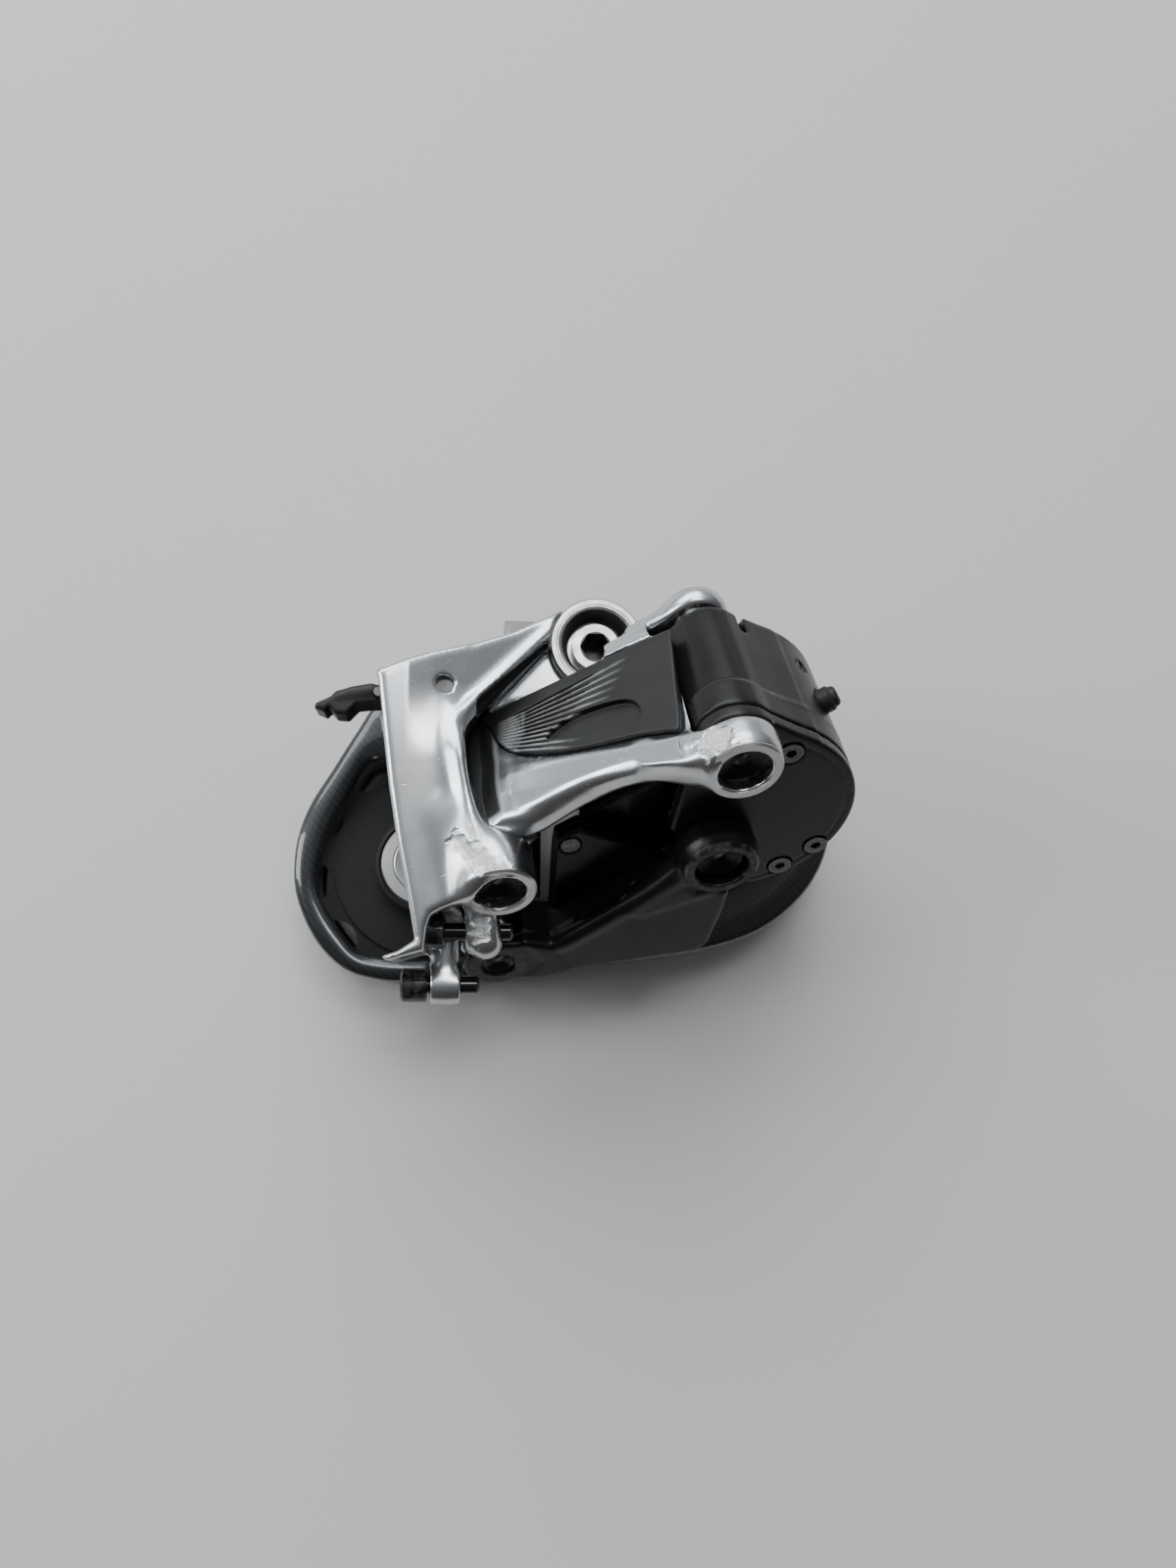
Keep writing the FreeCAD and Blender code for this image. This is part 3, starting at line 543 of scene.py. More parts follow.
def knuckle_field(p):
    x, y, z = p
    a, b, w = to_link(p)
    ridge = -25.2 + np.clip(-17.0 - y, -12.0, 22.0) * 0.2
    crown = 22.2 + 1.5 * np.exp(-((x - ridge) / 2.3) ** 2)
    slope = np.clip(12.9 - (x + 5.0) * 0.33, 12.6, 22.2)
    fall = np.clip((y + 24.0) / 14.0, 0, 1)
    fall = fall * fall * (3 - 2 * fall)
    rim = np.exp(-((x - y * 0.92 + 9.8) / 1.6) ** 2) * np.clip((x + 27.0) / 4.0, 0, 1)
    crown = crown * (1 - fall) + (slope + 0.9 * rim) * fall
    outline = blend_join(polygon(x, y, WALL), polygon(x, y, ARM), 1.5)
    upper_half = blend_both(outline + 0.35, np.maximum(z - crown, 2.1 - z), 1.3) - 0.05
    wall = blend_both(polygon(x, y, WALL) + 0.35, np.maximum(z - 12.0, 0.3 - z), 1.0)
    body = np.minimum(wall, upper_half)
    shelf = blend_both(polygon(x, y, SHELF) + 0.3, np.maximum(z - 9.6, 2.1 - z), 0.8)
    boss = thick(circle(x, y, (0, 0), 8.55), z, 2.0, 5.0, 0.2)
    flange = thick(circle(x, y, (0, 0), 9.7), z, 2.0, 3.6, 0.4)
    near_ear = thick(circle(a, b, O1, EAR), w, -8.0, 0.7, 0.9)
    shoulder = capsule(p, (-23.8, -34.0, 17.4), (-18.4, -42.8, 20.8), 4.4, 4.2)
    far_ear = thick(circle(a, b, O1, EAR), w, -40.0, -34.3, 0.8)
    lug = thick(bar(a, b, I1, (-11.8, -4.0), 5.5, 5.0), w, -9.0, -4.0, 0.8)
    tongue = np.maximum(capsule(p, (-21.0, -45.5, 15.0), (-19.4, -53.6, 13.0), 3.1), z - 16.4)
    upper = np.maximum(capsule(p, (-24.0, *UPPER_SCREW), (-16.0, *UPPER_SCREW), 3.5),
                       np.abs(x + 20.3) - 2.3)
    upper = blend_join(upper, tongue, 1.2)
    lower = blend_join(np.maximum(capsule(p, (-30.0, *LOWER_SCREW), (-22.0, *LOWER_SCREW), 3.22),
                                  np.abs(x + 26.1) - 2.6),
                       capsule(p, (-26.1, -51.0, 6.5), (-26.1, *LOWER_SCREW), 2.6), 1.5)
    body = blend_join(body, shelf, 0.8)
    body = join_all(1.0, body, boss, flange)
    body = blend_join(body, blend_join(near_ear, shoulder, 3.5), 4.0)
    body = join_all(2.0, body, far_ear, lug)
    body = join_all(1.6, body, upper, lower)
    groove = capsule(p, (-9.4, -0.9, 13.2), (-20.2, -13.6, 17.6), 0.8, 2.0)
    body = blend_cut(body, groove, 0.6)
    seat_left = np.maximum(np.abs(y + 32.0) - 17.2, np.abs(z - 11.4) - 7.9)
    body = blend_cut(body, np.maximum(seat_left, x + 28.6), 0.8)
    slot = np.maximum(np.maximum(np.abs(z - 13.8) - 3.6, x + 36.2), np.abs(y + 10.2) - 4.2)
    body = blend_cut(body, slot, 0.4)
    swing = np.maximum(circle(a, b, O1, 6.7), np.abs(w + 21.15) - 13.05)
    sweep = np.maximum(polygon(a, b, [(3.2, 8.2), (3.2, 0), (-1, -6.7), (-4, -45), (75, -45), (75, 8.2)]),
                       np.abs(w + 21.15) - 13.05)
    reach = np.maximum(30.8 - np.hypot(a, b), np.abs(w + 38.3) - 4.2)
    body = blend_cut(body, np.minimum(np.minimum(swing, sweep), reach), 0.3)
    inner = polygon(a, b, [(-6.9, -12), (-8, -26), (-30, -60), (40, -60), (40, -4), (-1, -4)])
    inner = np.maximum(inner, np.abs(w + 6.2) - 7.8)
    around = np.maximum(circle(a, b, I1, 6.9), np.minimum(-3.95 - w, w + 9.05))
    around = np.maximum(around, np.abs(w) - 14)
    body = blend_cut(body, np.minimum(inner, around), 0.3)
    holes = np.minimum(circle(a, b, O1, BORE), np.maximum(circle(a, b, I1, 3.1), np.abs(w + 5) - 8))
    holes = np.minimum(holes, np.maximum(circle(x, y, (0, 0), 5.05), 0 - z))
    holes = np.minimum(holes, np.maximum(circle(x, y, (0, 0), 8.5), 5.0 - z))
    for y0, z0 in (UPPER_SCREW, LOWER_SCREW):
        holes = np.minimum(holes, np.maximum(np.hypot(y - y0, z - z0) - 1.6, np.abs(x + 25) - 14))
    holes = np.minimum(holes, np.maximum(np.hypot(y - UPPER_SCREW[0], z - UPPER_SCREW[1]) - 3.3,
                                         np.abs(x + 29.0) - 6.3))
    holes = np.minimum(holes, np.maximum(np.hypot(y - LOWER_SCREW[0], z - LOWER_SCREW[1]) - 3.3,
                                         np.abs(x + 33.0) - 4.2))
    holes = np.minimum(holes, np.maximum(circle(x, y, (-27.0, -10.5), 1.52), 12 - z))
    return blend_cut(body, holes, 0.25)


def knuckle_wear(x, y, z):
    """Rough bruised metal at the shoulder of the upper ear and on the limit screw boss."""
    along = np.clip(((x + 24.5) * 6.5 - (y + 37.5) * 5.5) / 72.5, 0, 1)
    ragged = 0.9 * np.sin(x * 2.3 + y * 1.1) + 0.6 * np.sin(y * 3.7 - x)
    shoulder = np.hypot(x + 24.5 - 6.5 * along, y + 37.5 + 5.5 * along) - 1.5 - 0.9 * along + 0.35 * ragged
    boss = np.hypot(x + 20.2, (y + 51.0) * 0.5) - 1.9 + 0.3 * ragged
    worn = np.maximum(np.clip(-shoulder / 1.5, 0, 1) * (z > 19.5), np.clip(-boss / 1.0, 0, 1) * (z > 13.0))
    return np.clip(worn, 0, 1)


def knuckle_painted_shade(x, y, z):
    """Painted shade: dark down in the groove of the arm, inside the battery seat and in the link channel."""
    groove = capsule([x, y, z], (-9.4, -0.9, 12.4), (-20.2, -13.6, 16.8), 0.9, 2.2)
    seat = np.maximum(np.abs(y + 32.0) - 16.0, np.maximum(x + 28.0, np.abs(z - 11.4) - 7.4))
    a, b, w = to_link([x, y, z])
    channel = np.maximum(np.hypot(a, b) - 7.4, np.abs(w + 21.2) - 12.6)
    return np.clip(np.maximum(-groove / 0.5, np.maximum(-seat / 0.8, -channel / 0.4)), 0, 1)


def make_knuckle():
    low, high = [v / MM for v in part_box("b_knuckle")[0]], [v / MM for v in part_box("b_knuckle")[1]]
    piece = cast("b_knuckle_cast", knuckle_field, low, high, 0.34, ROW, "b_knuckle")
    paint(piece, "worn", knuckle_wear, ROW)
    # painted shade in the arm's groove, the battery seat and the link channel
    paint(piece, "painted_shade", knuckle_painted_shade, ROW)
    dress(piece, ALLOY)
    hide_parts("b_knuckle")
    collar = lathe("boss_collar", [(8.6, 3.0), (8.6, 11.55), (8.2, 12.0), (7.45, 12.0), (7.25, 11.7),
                                   (7.05, 11.7), (6.85, 11.95), (6.5, 11.8), (6.5, 10.0), (7.6, 5.1),
                                   (7.9, 3.0)], (0, 0), ROW, "b_knuckle", 128)
    dress(collar, TURNED)
    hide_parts("hanger_boss_collar")
    cone = lathe("boss_cone", [(6.55, 11.6), (6.2, 10.7), (5.5, 8.6), (5.1, 8.0), (5.0, 5.1), (7.2, 5.1),
                               (7.2, 9.5), (6.9, 11.2)], (0, 0), ROW, "b_knuckle", 128)
    dress(cone, TURNED_DARK)
    lip = lathe("upper_ear_lip", [(4.32, -2.6), (4.32, 0.35), (4.7, 0.8), (5.75, 0.8), (6.08, 0.45),
                                  (6.08, -2.6)], O1, LINK, "b_knuckle")
    dress(lip, TURNED)


# ---------------------------------------------------------------- outer link and its panel
PANEL_EDGE = smooth_loop([(4.9, -33.0), (23.0, -31.8), (41.6, -29.8), (41.8, -27.8), (40.4, -18.0),
                          (38.9, -8.4), (36.5, -9.0), (30.7, -11.4), (23.3, -13.8), (15.9, -17.0),
                          (9.5, -21.2), (6.6, -25.2), (5.4, -29.4)], 3)
SKIN = [(4.4, -33.4), (43.3, -31.0), (40.0, -5.0), (38.0, -4.0), (29.1, -5.2), (21.2, -7.6), (13.4, -8.4),
        (4.4, -9.4)]
ARM_TOP = smooth_loop([(4.4, -32.0), (4.9, -26.6), (9.8, -20.9), (14.8, -17.4), (24.1, -13.2), (30.0, -10.6),
                       (37.8, -7.6), (43.0, -5.3), (45.5, -3.2), (41.5, 0.2), (37.3, -1.2), (32.0, -4.4),
                       (26.1, -6.3), (19.7, -6.9), (14.1, -6.9), (9.5, -6.6), (6.6, -7.2), (4.6, -8.8),
                       (3.4, -10.4), (3.2, -14.0), (3.6, -24.0), (4.0, -29.0)], 3)
FAN_POINT = (-4.5, -29.6)
FAN_FIRST, FAN_STEP, FAN_COUNT = 2.0, 2.75, 11
WINDOW = smooth_loop([(15.8, -21.0), (20.6, -22.3), (26.6, -21.4), (31.4, -19.5), (33.2, -16.6),
                      (32.6, -14.0), (29.8, -14.4), (24.6, -16.2), (18.6, -18.8)], 4)


def fan_depth(a, w):
    """Distance across the nearest line of the fan, in millimetres, and how deep it is cut there."""
    angle = np.degrees(np.arctan2(w - FAN_POINT[1], a - FAN_POINT[0]))
    reach = np.hypot(a - FAN_POINT[0], w - FAN_POINT[1])
    index = np.clip(np.round((angle - FAN_FIRST) / FAN_STEP), 0, FAN_COUNT - 1)
    across = np.abs(np.radians(angle - FAN_FIRST - index * FAN_STEP)) * reach
    fade = np.clip((reach - 11.5) / 6.0, 0, 1) * np.clip((38.0 - index * 0.9 - reach) / 12.0, 0, 1)
    return across, fade


def outer_link_field(p):
    a, b, w = p
    plate = thick(polygon(a, w, SKIN), b, 2.6, 5.2, 0.6)
    crest = 6.3 - 0.25 * np.clip(np.abs(w + 9.5 - (a - 24.0) * 0.3) - 1.5, 0, 4)
    arm = thick(polygon(a, w, ARM_TOP), b + 6.3 - crest, 0.6, 6.3, 2.3)
    far = thick(polygon(a, w, [(4.4, -33.5), (33.4, -31.7), (33.4, -28.7), (4.4, -29.5)]), b, -1.9, 5.6, 0.8)
    cross = thick(polygon(a, w, [(30.6, -31), (33.7, -31), (33.7, -9), (30.6, -9)]), b, -1.1, 5.2, 0.8)
    barrel = thick(circle(a, b, O1, EAR), w, -33.9, -8.4, 0.7)
    root = thick(polygon(a, b, [(0, -3), (7.5, -2.6), (7.5, 5.0), (3.0, 5.2)]), w, -33.6, -8.5, 0.8)
    neck = thick(bar(a, b, (33.0, 4.2), O2, 1.9, 5.9), w, -5.3, -0.7, 1.0)
    neck = blend_both(neck, (w + 4.6 - (a - 32.0) * 0.62) * 0.85, 1.2)
    near_ear = thick(circle(a, b, O2, EAR), w, -5.3, 0.6, 0.9)
    far_arm = thick(bar(a, b, (35.2, 1.8), O2, 3.3, 5.2), w, -37.4, -34.0, 1.2)
    dome = thick(circle(a, b, O2, 5.35), w, -39.3, -34.0, 2.4)
    riser = thick(polygon(a, b, [(29.6, -1.1), (33.5, -1.1), (38.0, 6.1), (29.6, 6.1)]), w, -34.6, -28.9, 0.8)
    body = join_all(1.2, plate, far, cross, root, barrel)
    body = blend_join(body, arm, 2.4)
    body = blend_join(body, blend_join(neck, near_ear, 2.0), 2.6)
    body = join_all(1.6, body, riser, blend_join(far_arm, dome, 2.0))
    room = np.maximum(circle(a, b, O2, 6.85), np.abs(w + 19.6) - 14.25)
    holes = np.minimum(circle(a, b, O2, BORE), np.maximum(circle(a, b, O1, 5.0), w))
    holes = np.maximum(holes, -38.7 - w)
    level = np.maximum(polygon(a, w, PANEL_EDGE), 4.7 - b)
    body = blend_cut(body, np.minimum(room, holes), 0.3)
    body = blend_cut(body, level, 0.25)
    return np.maximum(body, np.where((a > 8) & (a < 38), b - 6.35, -9.0))


def outer_wear(a, b, w):
    """Bruised metal round the lower ear, scuffs along the arm's crest."""
    ragged = 0.8 * np.sin(a * 2.1 + w * 1.3) + 0.5 * np.sin(w * 3.9 - a)
    ear = np.hypot(a - 43.6, (w + 1.9) * 1.3) - 3.4 + 0.6 * ragged
    ear = np.clip(-ear / 0.8, 0, 1) * (b > 2.5)
    crest = np.clip(1.0 - np.abs(w + 15.2 - (a - 20.0) * 0.40) / 0.8, 0, 1) * np.clip((b - 5.2), 0, 1)
    spots = np.clip(np.sin(a * 2.3) + 0.5 * np.sin(a * 5.1), 0, 1) * crest * (a > 13) * (a < 26)
    return np.clip(np.maximum(ear, spots), 0, 1)


def outer_painted_shade(a, b, w):
    """Painted shade in the channel where the link's root turns round the upper barrel, all the way through b."""
    return np.clip((6.4 - a) / 1.2, 0, 1) * np.clip((-9.0 - w) / 1.5, 0, 1)


def panel_field(p):
    a, b, w = p
    panel = thick(polygon(a, w, PANEL_EDGE) + 0.12, b, 4.3, 6.25, 0.35)
    across, fade = fan_depth(a, w)
    groove = np.maximum(across - 0.34, 6.25 - 0.5 * fade - b)
    groove = np.where(fade > 0.05, groove, 5.0)
    window = np.maximum(polygon(a, w, WINDOW), 5.0 - b)
    panel = blend_cut(panel, groove, 0.15)
    panel = blend_cut(panel, window, 0.3)
    return np.maximum(panel, 6.9 - np.hypot(a - O2[0], b - O2[1]))


def panel_cut(a, b, w):
    across, fade = fan_depth(a, w)
    return np.clip((0.30 - across) / 0.16, 0, 1) * np.clip(fade * 2.4, 0, 1) * (b > 5.3)


def make_outer_link():
    piece = cast("outer_link_forging", outer_link_field, (-6.2, -6.2, -42.0), (51.2, 6.4, 0.9), 0.32, LINK,
                 "outer_link")
    paint(piece, "worn", outer_wear, LINK)
    # painted shade in the channel round the upper barrel
    paint(piece, "painted_shade", outer_painted_shade, LINK)
    dress(piece, ALLOY)
    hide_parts("outer_link")
    panel = cast("ribbed_panel", panel_field, (5.0, 4.2, -33.0), (43.4, 6.4, -6.0), 0.16, LINK,
                 "outer_link", 1)
    paint(panel, "cut", panel_cut, LINK)
    dress(panel, PANEL)
    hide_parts("outer_link_panel")
    pane = cast("window_pane", lambda p: thick(polygon(p[0], p[2], WINDOW) + 0.3, p[1], 4.6, 4.95, 0.2),
                (14, 4.4, -25), (35, 5.2, -12), 0.25, LINK, "outer_link", 1)
    dress(pane, WINDOW_BLACK)
    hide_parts("panel_window")
    sleeve = lathe("upper_barrel_sleeve", [(6.0, -33.2), (6.25, -33.0), (6.25, -9.0), (6.0, -8.7)], O1, LINK,
                   "outer_link")
    dress(sleeve, PLASTIC_BLACK)
    lip = lathe("lower_ear_lip", [(4.32, -2.4), (4.32, 0.25), (4.65, 0.75), (5.8, 0.75), (6.08, 0.4),
                                  (6.08, -2.4)],
                O2, LINK, "outer_link")
    dress(lip, TURNED)


# ---------------------------------------------------------------- inner link
BAR = [(-6.3, -17.0), (-3.0, -21.4), (24.0, -21.4), (24.6, -24.5), (29.4, -28.6), (26.2, -33.0),
       (19.0, -41.0), (16.2, -42.0), (-5.0, -30.5), (-9.5, -29.0), (-12.5, -26.0), (-7.0, -24.0)]
PLATE = [(-13.4, -25.6), (-13.4, -13.4), (-6.0, -17.2), (-3.0, -21.4), (-5.0, -30.0), (-9.5, -28.8)]
BAND = [(12.0, -21.6), (24.9, -16.8), (28.6, -13.8), (31.6, -13.1), (33.5, -25.6), (28.0, -27.1),
        (14.0, -24.0)]
WEB = [(-2.6, -21.7), (2.5, -14.1), (7.7, -6.6), (9.3, -4.7), (13.9, -4.7), (22.3, -21.7)]


def inner_link_field(p):
    a, b, w = p
    body = thick(polygon(a, b, BAR), w, -12.0, -1.0, 1.3)
    ears = thick(blend_join(circle(a, b, I1, 6.2), polygon(a, b, PLATE), 0.8), w, -3.8, -1.0, 0.7)
    back = thick(blend_join(circle(a, b, I1, 6.2), polygon(a, b, PLATE), 0.8), w, -12.0, -9.2, 0.7)
    band = thick(blend_join(circle(a, b, I2, 6.4), polygon(a, b, BAND), 1.5), w, -5.25, -1.2, 0.9)
    rim = thick(circle(a, b, I2, 6.45), w, -5.25, 0.9, 0.8)
    ledge = capsule(p, (-1.5, -22.6, -2.4), (25.0, -19.6, -2.2), 1.5)
    web = thick(polygon(a, b, WEB), w, -12.0, -10.3, 0.4)
    body = join_all(1.0, body, ears, back, web)
    body = blend_join(body, blend_join(band, rim, 1.6), 1.8)
    body = blend_join(body, ledge, 1.5)
    room = np.maximum(circle(a, b, I2, 6.95), w + 5.35)
    holes = np.minimum(circle(a, b, I2, BORE + 0.25), circle(a, b, I1, 3.1))
    gap = np.maximum(circle(a, b, I1, 6.3), np.abs(w + 6.5) - 2.6)
    return blend_cut(body, np.minimum(np.minimum(room, holes), gap), 0.3)


def web_cover_field(p):
    a, b, w = p
    flat = polygon(a, b, WEB) + 0.3
    dome = 0.5 * np.clip(1 - np.hypot(a - 8, b + 14) / 14, 0, 1)
    cover = thick(flat, w - dome, -10.25, -8.8, 0.6)
    cover = blend_cut(cover, np.maximum(circle(a, b, (10.4, -7.6), 1.9), -9.85 - w), 0.3)
    return blend_cut(cover, circle(a, b, I2, 7.1), 0.2)


def make_inner_link():
    piece = cast("inner_link_casting", inner_link_field, (-19.8, -42.2, -12.1), (38.2, -4.5, 1.1), 0.34, LINK,
                 "inner_link")
    dress(piece, LINK_BLACK)
    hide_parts("inner_link")
    cover = cast("web_cover", web_cover_field, (-3, -22, -10.4), (23, -4.4, -8.0), 0.3, LINK, "inner_link")
    dress(cover, HOUSING_BLACK)
    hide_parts("inner_link_cover")
    lip = lathe("inner_ear_lip", [(4.56, -1.6), (4.56, 0.55), (4.85, 0.98), (5.9, 0.98), (6.4, 0.5),
                                  (6.4, -1.6)],
                I2, LINK, "inner_link")
    dress(lip, LINK_BLACK)
    cap = lathe("inner_plate_lip", [(3.12, -2.2), (3.12, -1.2), (3.4, -0.98), (5.0, -0.98), (5.2, -1.2),
                                    (5.2, -2.2)],
                I1, LINK, "inner_link")
    dress(cap, LINK_BLACK)


# ---------------------------------------------------------------- motor housing
AWAY = [(27.0, -12.0), (39.9, 3.5), (30, 14), (-20, 14), (-20, -60), (31.0, -60), (31.0, -19.5),
        (27.6, -17.9)]
BAY = [(13.6, -26.4), (13.6, -5.6), (34, -5.6), (40, -30), (30, -34)]


def tangent_bar(start, start_radius, end, end_radius):
    """Outline of the straight-sided body between two circles."""
    lean = math.acos((start_radius - end_radius) / math.dist(start, end))
    heading = math.atan2(end[1] - start[1], end[0] - start[0])
    corners = []
    for centre, radius, side in ((start, start_radius, 1), (end, end_radius, 1), (end, end_radius, -1),
                                 (start, start_radius, -1)):
        angle = heading + side * lean
        corners.append((centre[0] + radius * math.cos(angle), centre[1] + radius * math.sin(angle)))
    return corners


def front_flat(a, b, radius):
    disc = blend_cut(circle(a, b, HOUSING, radius), polygon(a, b, AWAY), 0.5)
    wing = polygon(a, b, tangent_bar(HOUSING, radius, O2, 6.1))
    wing = np.maximum(wing, 45.0 - a)
    return join_all(0.8, disc, wing, circle(a, b, O2, 6.2), circle(a, b, I2, 6.2))


def housing_field(p):
    a, b, w = p
    x, y, z = to_row(p)
    front = thick(front_flat(a, b, HOUSING_RADIUS), w, -13.4, -8.05, 0.3)
    neck = tangent_bar(HOUSING, HOUSING_RADIUS, TOP_CORNER, TOP_CORNER_RADIUS)
    outline = join_all(0.6, circle(a, b, HOUSING, HOUSING_RADIUS), polygon(a, b, neck),
                       circle(a, b, TOP_CORNER, TOP_CORNER_RADIUS))
    deep = thick(outline, w, -33.6, -12.4, 1.6)
    bay = thick(polygon(a, b, BAY), w, -31.0, -12.6, 2.0)
    trim = polygon(a, b, [(8, -5.5), (31.8, -5.5), (39.9, 3.5), (36, 14), (8, 14)])
    deep = blend_cut(blend_join(deep, bay, 2.0), trim, 1.0)
    pivots = thick(np.minimum(circle(a, b, O2, 6.2), circle(a, b, I2, 6.2)), w, -14.0, -8.05, 0.6)
    boss = thick(circle(x, y, CAGE, 10.4), z, -9.8, 4.0, 1.0)
    body = join_all(0.8, front, deep, pivots)
    body = blend_join(body, boss, 3.0)
    hollow = np.maximum(circle(a, b, HOUSING, 17.0), np.abs(w + 20.0) - 11.4)
    hollow = blend_cut(hollow, np.minimum(circle(a, b, O2, 6.2), circle(a, b, I2, 6.2)), 0.5)
    hollow = np.maximum(hollow, -polygon(a, b, AWAY))
    hollow = np.maximum(hollow, 10.6 - np.hypot(x - CAGE[0], y - CAGE[1]) + 40 * (z > 2.0) * -1.0)
    body = blend_cut(body, hollow, 0.5)
    notch = capsule(p, (50.6, -2.2, -35.0), (50.6, -2.2, -29.0), 1.5)
    body = blend_cut(body, notch, 0.5)
    key = np.maximum(np.hypot(b + 16.5, w + 20.0) - 2.4, 50 - a)
    light = np.maximum(np.hypot(b + 12.6, w + 26.0) - 1.3, 50 - a)
    axle = np.maximum(circle(x, y, CAGE, 4.05), z - 0.5)
    bores = np.minimum(np.minimum(circle(a, b, O2, BORE), circle(a, b, I2, BORE)), np.minimum(key, light))
    return blend_cut(body, np.minimum(bores, axle), 0.2)


COVER_SCREWS = [(51.1, -8.0), (45.2, -33.0), (37.8, -34.0)]


def cover_field(p):
    a, b, w = p
    cover = thick(front_flat(a, b, 19.3), w, -8.0, -5.5, 0.45)
    holes = np.minimum(circle(a, b, O2, BORE), circle(a, b, I2, BORE))
    for spot in COVER_SCREWS:
        holes = np.minimum(holes, np.maximum(circle(a, b, spot, 2.25), -7.0 - w))
    line = np.abs(np.hypot(a - HOUSING[0], b - HOUSING[1]) - 17.6) - 0.12
    line = np.maximum(line, -5.65 - w)
    return blend_cut(blend_cut(cover, holes, 0.25), line, 0.1)


def torx_head(name, spot, top, body, radius=2.05):
    """Countersunk pan head with a six-lobed recess."""
    def field(p):
        a, b, w = p[0] - spot[0], p[1] - spot[1], p[2]
        turn = np.arctan2(b, a)
        lobes = 0.62 * radius * (0.78 + 0.16 * np.cos(6 * turn))
        head = thick(np.hypot(a, b) - radius, w, top - 1.6, top, 0.35)
        return blend_cut(head, np.maximum(np.hypot(a, b) - lobes, top - 1.1 - w), 0.1)
    low = (spot[0] - radius, spot[1] - radius, top - 1.7)
    high = (spot[0] + radius, spot[1] + radius, top + 0.1)
    return dress(cast(name, field, low, high, 0.1, LINK, body, 1), STEEL_DARK)


def make_housing():
    piece = cast("motor_housing_shell", housing_field, (13, -44, -33.8), (58.2, 7, -6.5), 0.36, LINK,
                 "p_knuckle")
    dress(piece, HOUSING_BLACK)
    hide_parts("motor_housing")
    cover = cast("gearbox_cover_plate", cover_field, (24, -38, -8.2), (58.2, 7, -5.3), 0.28, LINK,
                 "p_knuckle", 1)
    dress(cover, COVER_BLACK)
    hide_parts("gearbox_cover")
    for index, spot in enumerate(COVER_SCREWS, 1):
        torx_head("cover_screw_head_%d" % index, spot, -5.3, "p_knuckle")
    dress(torx_head("web_screw_head", (10.4, -7.6), -8.6, "inner_link", 1.55), SCREW_BLACK)
    along_link = (LINK_ORIGIN + LINK_AXES @ np.array([0, -16.5, -20]), LINK_AXES[:, [1, 2, 0]])
    button = lathe("button_cap", [(0.01, 60.5), (1.3, 60.5), (1.75, 60.2), (1.85, 59.6), (2.25, 59.2),
                                  (2.25, 55.6), (0.01, 55.6)], (0, 0), along_link, "function_button", 48)
    dress(button, PLASTIC_BLACK)
    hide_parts("function_button")


# ---------------------------------------------------------------- cage plates
CAGE_EDGE = smooth_loop([(-41.0, -6.2), (-44.8, -11.7), (-49.5, -19.9), (-53.4, -26.8), (-55.5, -33.6),
                         (-55.75, -41.0), (-54.2, -47.0), (-50.8, -53.2), (-46.0, -57.8), (-40.5, -59.8),
                         (-33.0, -60.3), (-10.0, -58.4), (12.0, -56.0), (24.0, -54.0), (35.0, -50.3),
                         (43.4, -43.8), (48.4, -36.0), (50.1, -27.5), (48.6, -19.5), (43.0, -14.2),
                         (33.0, -12.3), (10.0, -11.0), (-20.0, -9.6), (-35.5, -8.4)], 4)
BAY_EDGE = smooth_loop([(-22, -20.0), (-32, -18.4), (-40.3, -17.6), (-43.2, -19.8), (-46.5, -26.1),
                        (-49.2, -31.6), (-50.7, -37.0), (-51.0, -42.4), (-49.3, -46.8), (-45.5, -52.2),
                        (-42.6, -55.0), (-38.0, -55.8), (-30.0, -56.0), (-22, -54)], 4)
GAP_EDGE = [(-8.5, -17.5), (2, -17.0), (1.2, -30), (2, -51), (-8.5, -52)]


def plate_flat(x, y):
    bay = blend_cut(polygon(x, y, BAY_EDGE), bar(x, y, TENSION, (-14, -37), 9.0, 6.5), 1.5)
    flat = blend_cut(polygon(x, y, CAGE_EDGE), bay, 1.2)
    return blend_cut(flat, polygon(x, y, GAP_EDGE), 1.2)


def make_cage():
    def field(low, high, edge, axle):
        def inner(p):
            x, y, z = p
            flat = plate_flat(x, y)
            fall = 1.5 * np.clip(1.0 + flat / 5.0, 0, 1) ** 2 if axle else 0.0
            body = thick(flat, z + fall * np.clip((z - low) / (high - low), 0, 1), low, high, edge)
            holes = np.minimum(circle(x, y, GUIDE, 2.5), circle(x, y, TENSION, 2.5))
            if axle:
                holes = np.minimum(holes, circle(x, y, CAGE, 4.0))
            return blend_cut(body, holes, 0.25)
        return inner
    outer = cast("outer_cage_plate", field(-14.0, -11.0, 1.35, True), (-56, -60.5, -14.1), (50.4, -8, -10.9),
                 0.34, ROW, "cage")
    dress(outer, CARBON)
    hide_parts("cage_outer_plate")
    inner = cast("inner_cage_plate", field(-27.0, -24.0, 0.9, False), (-56, -60.5, -27.1), (50.4, -8, -23.9),
                 0.4, ROW, "cage")
    dress(inner, LINK_BLACK)
    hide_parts("cage_inner_plate")
    for name, centre in (("tension", TENSION), ("guide", GUIDE)):
        cap = lathe(name + "_cap_face", [(2.6, -11.6), (2.6, -10.9), (5.6, -10.5), (5.8, -10.62), (6.0, -10.5),
                                         (7.9, -10.55), (8.2, -10.8), (8.2, -11.6)], centre, ROW, "cage")
        dress(cap, CAP_SILVER)
        rim = lathe(name + "_hub_rim", [(8.2, -12.0), (8.2, -10.7), (8.6, -10.5), (9.2, -10.6), (9.4, -11.0),
                                        (9.4, -12.0)], centre, ROW, "cage")
        dress(rim, PLASTIC_BLACK)


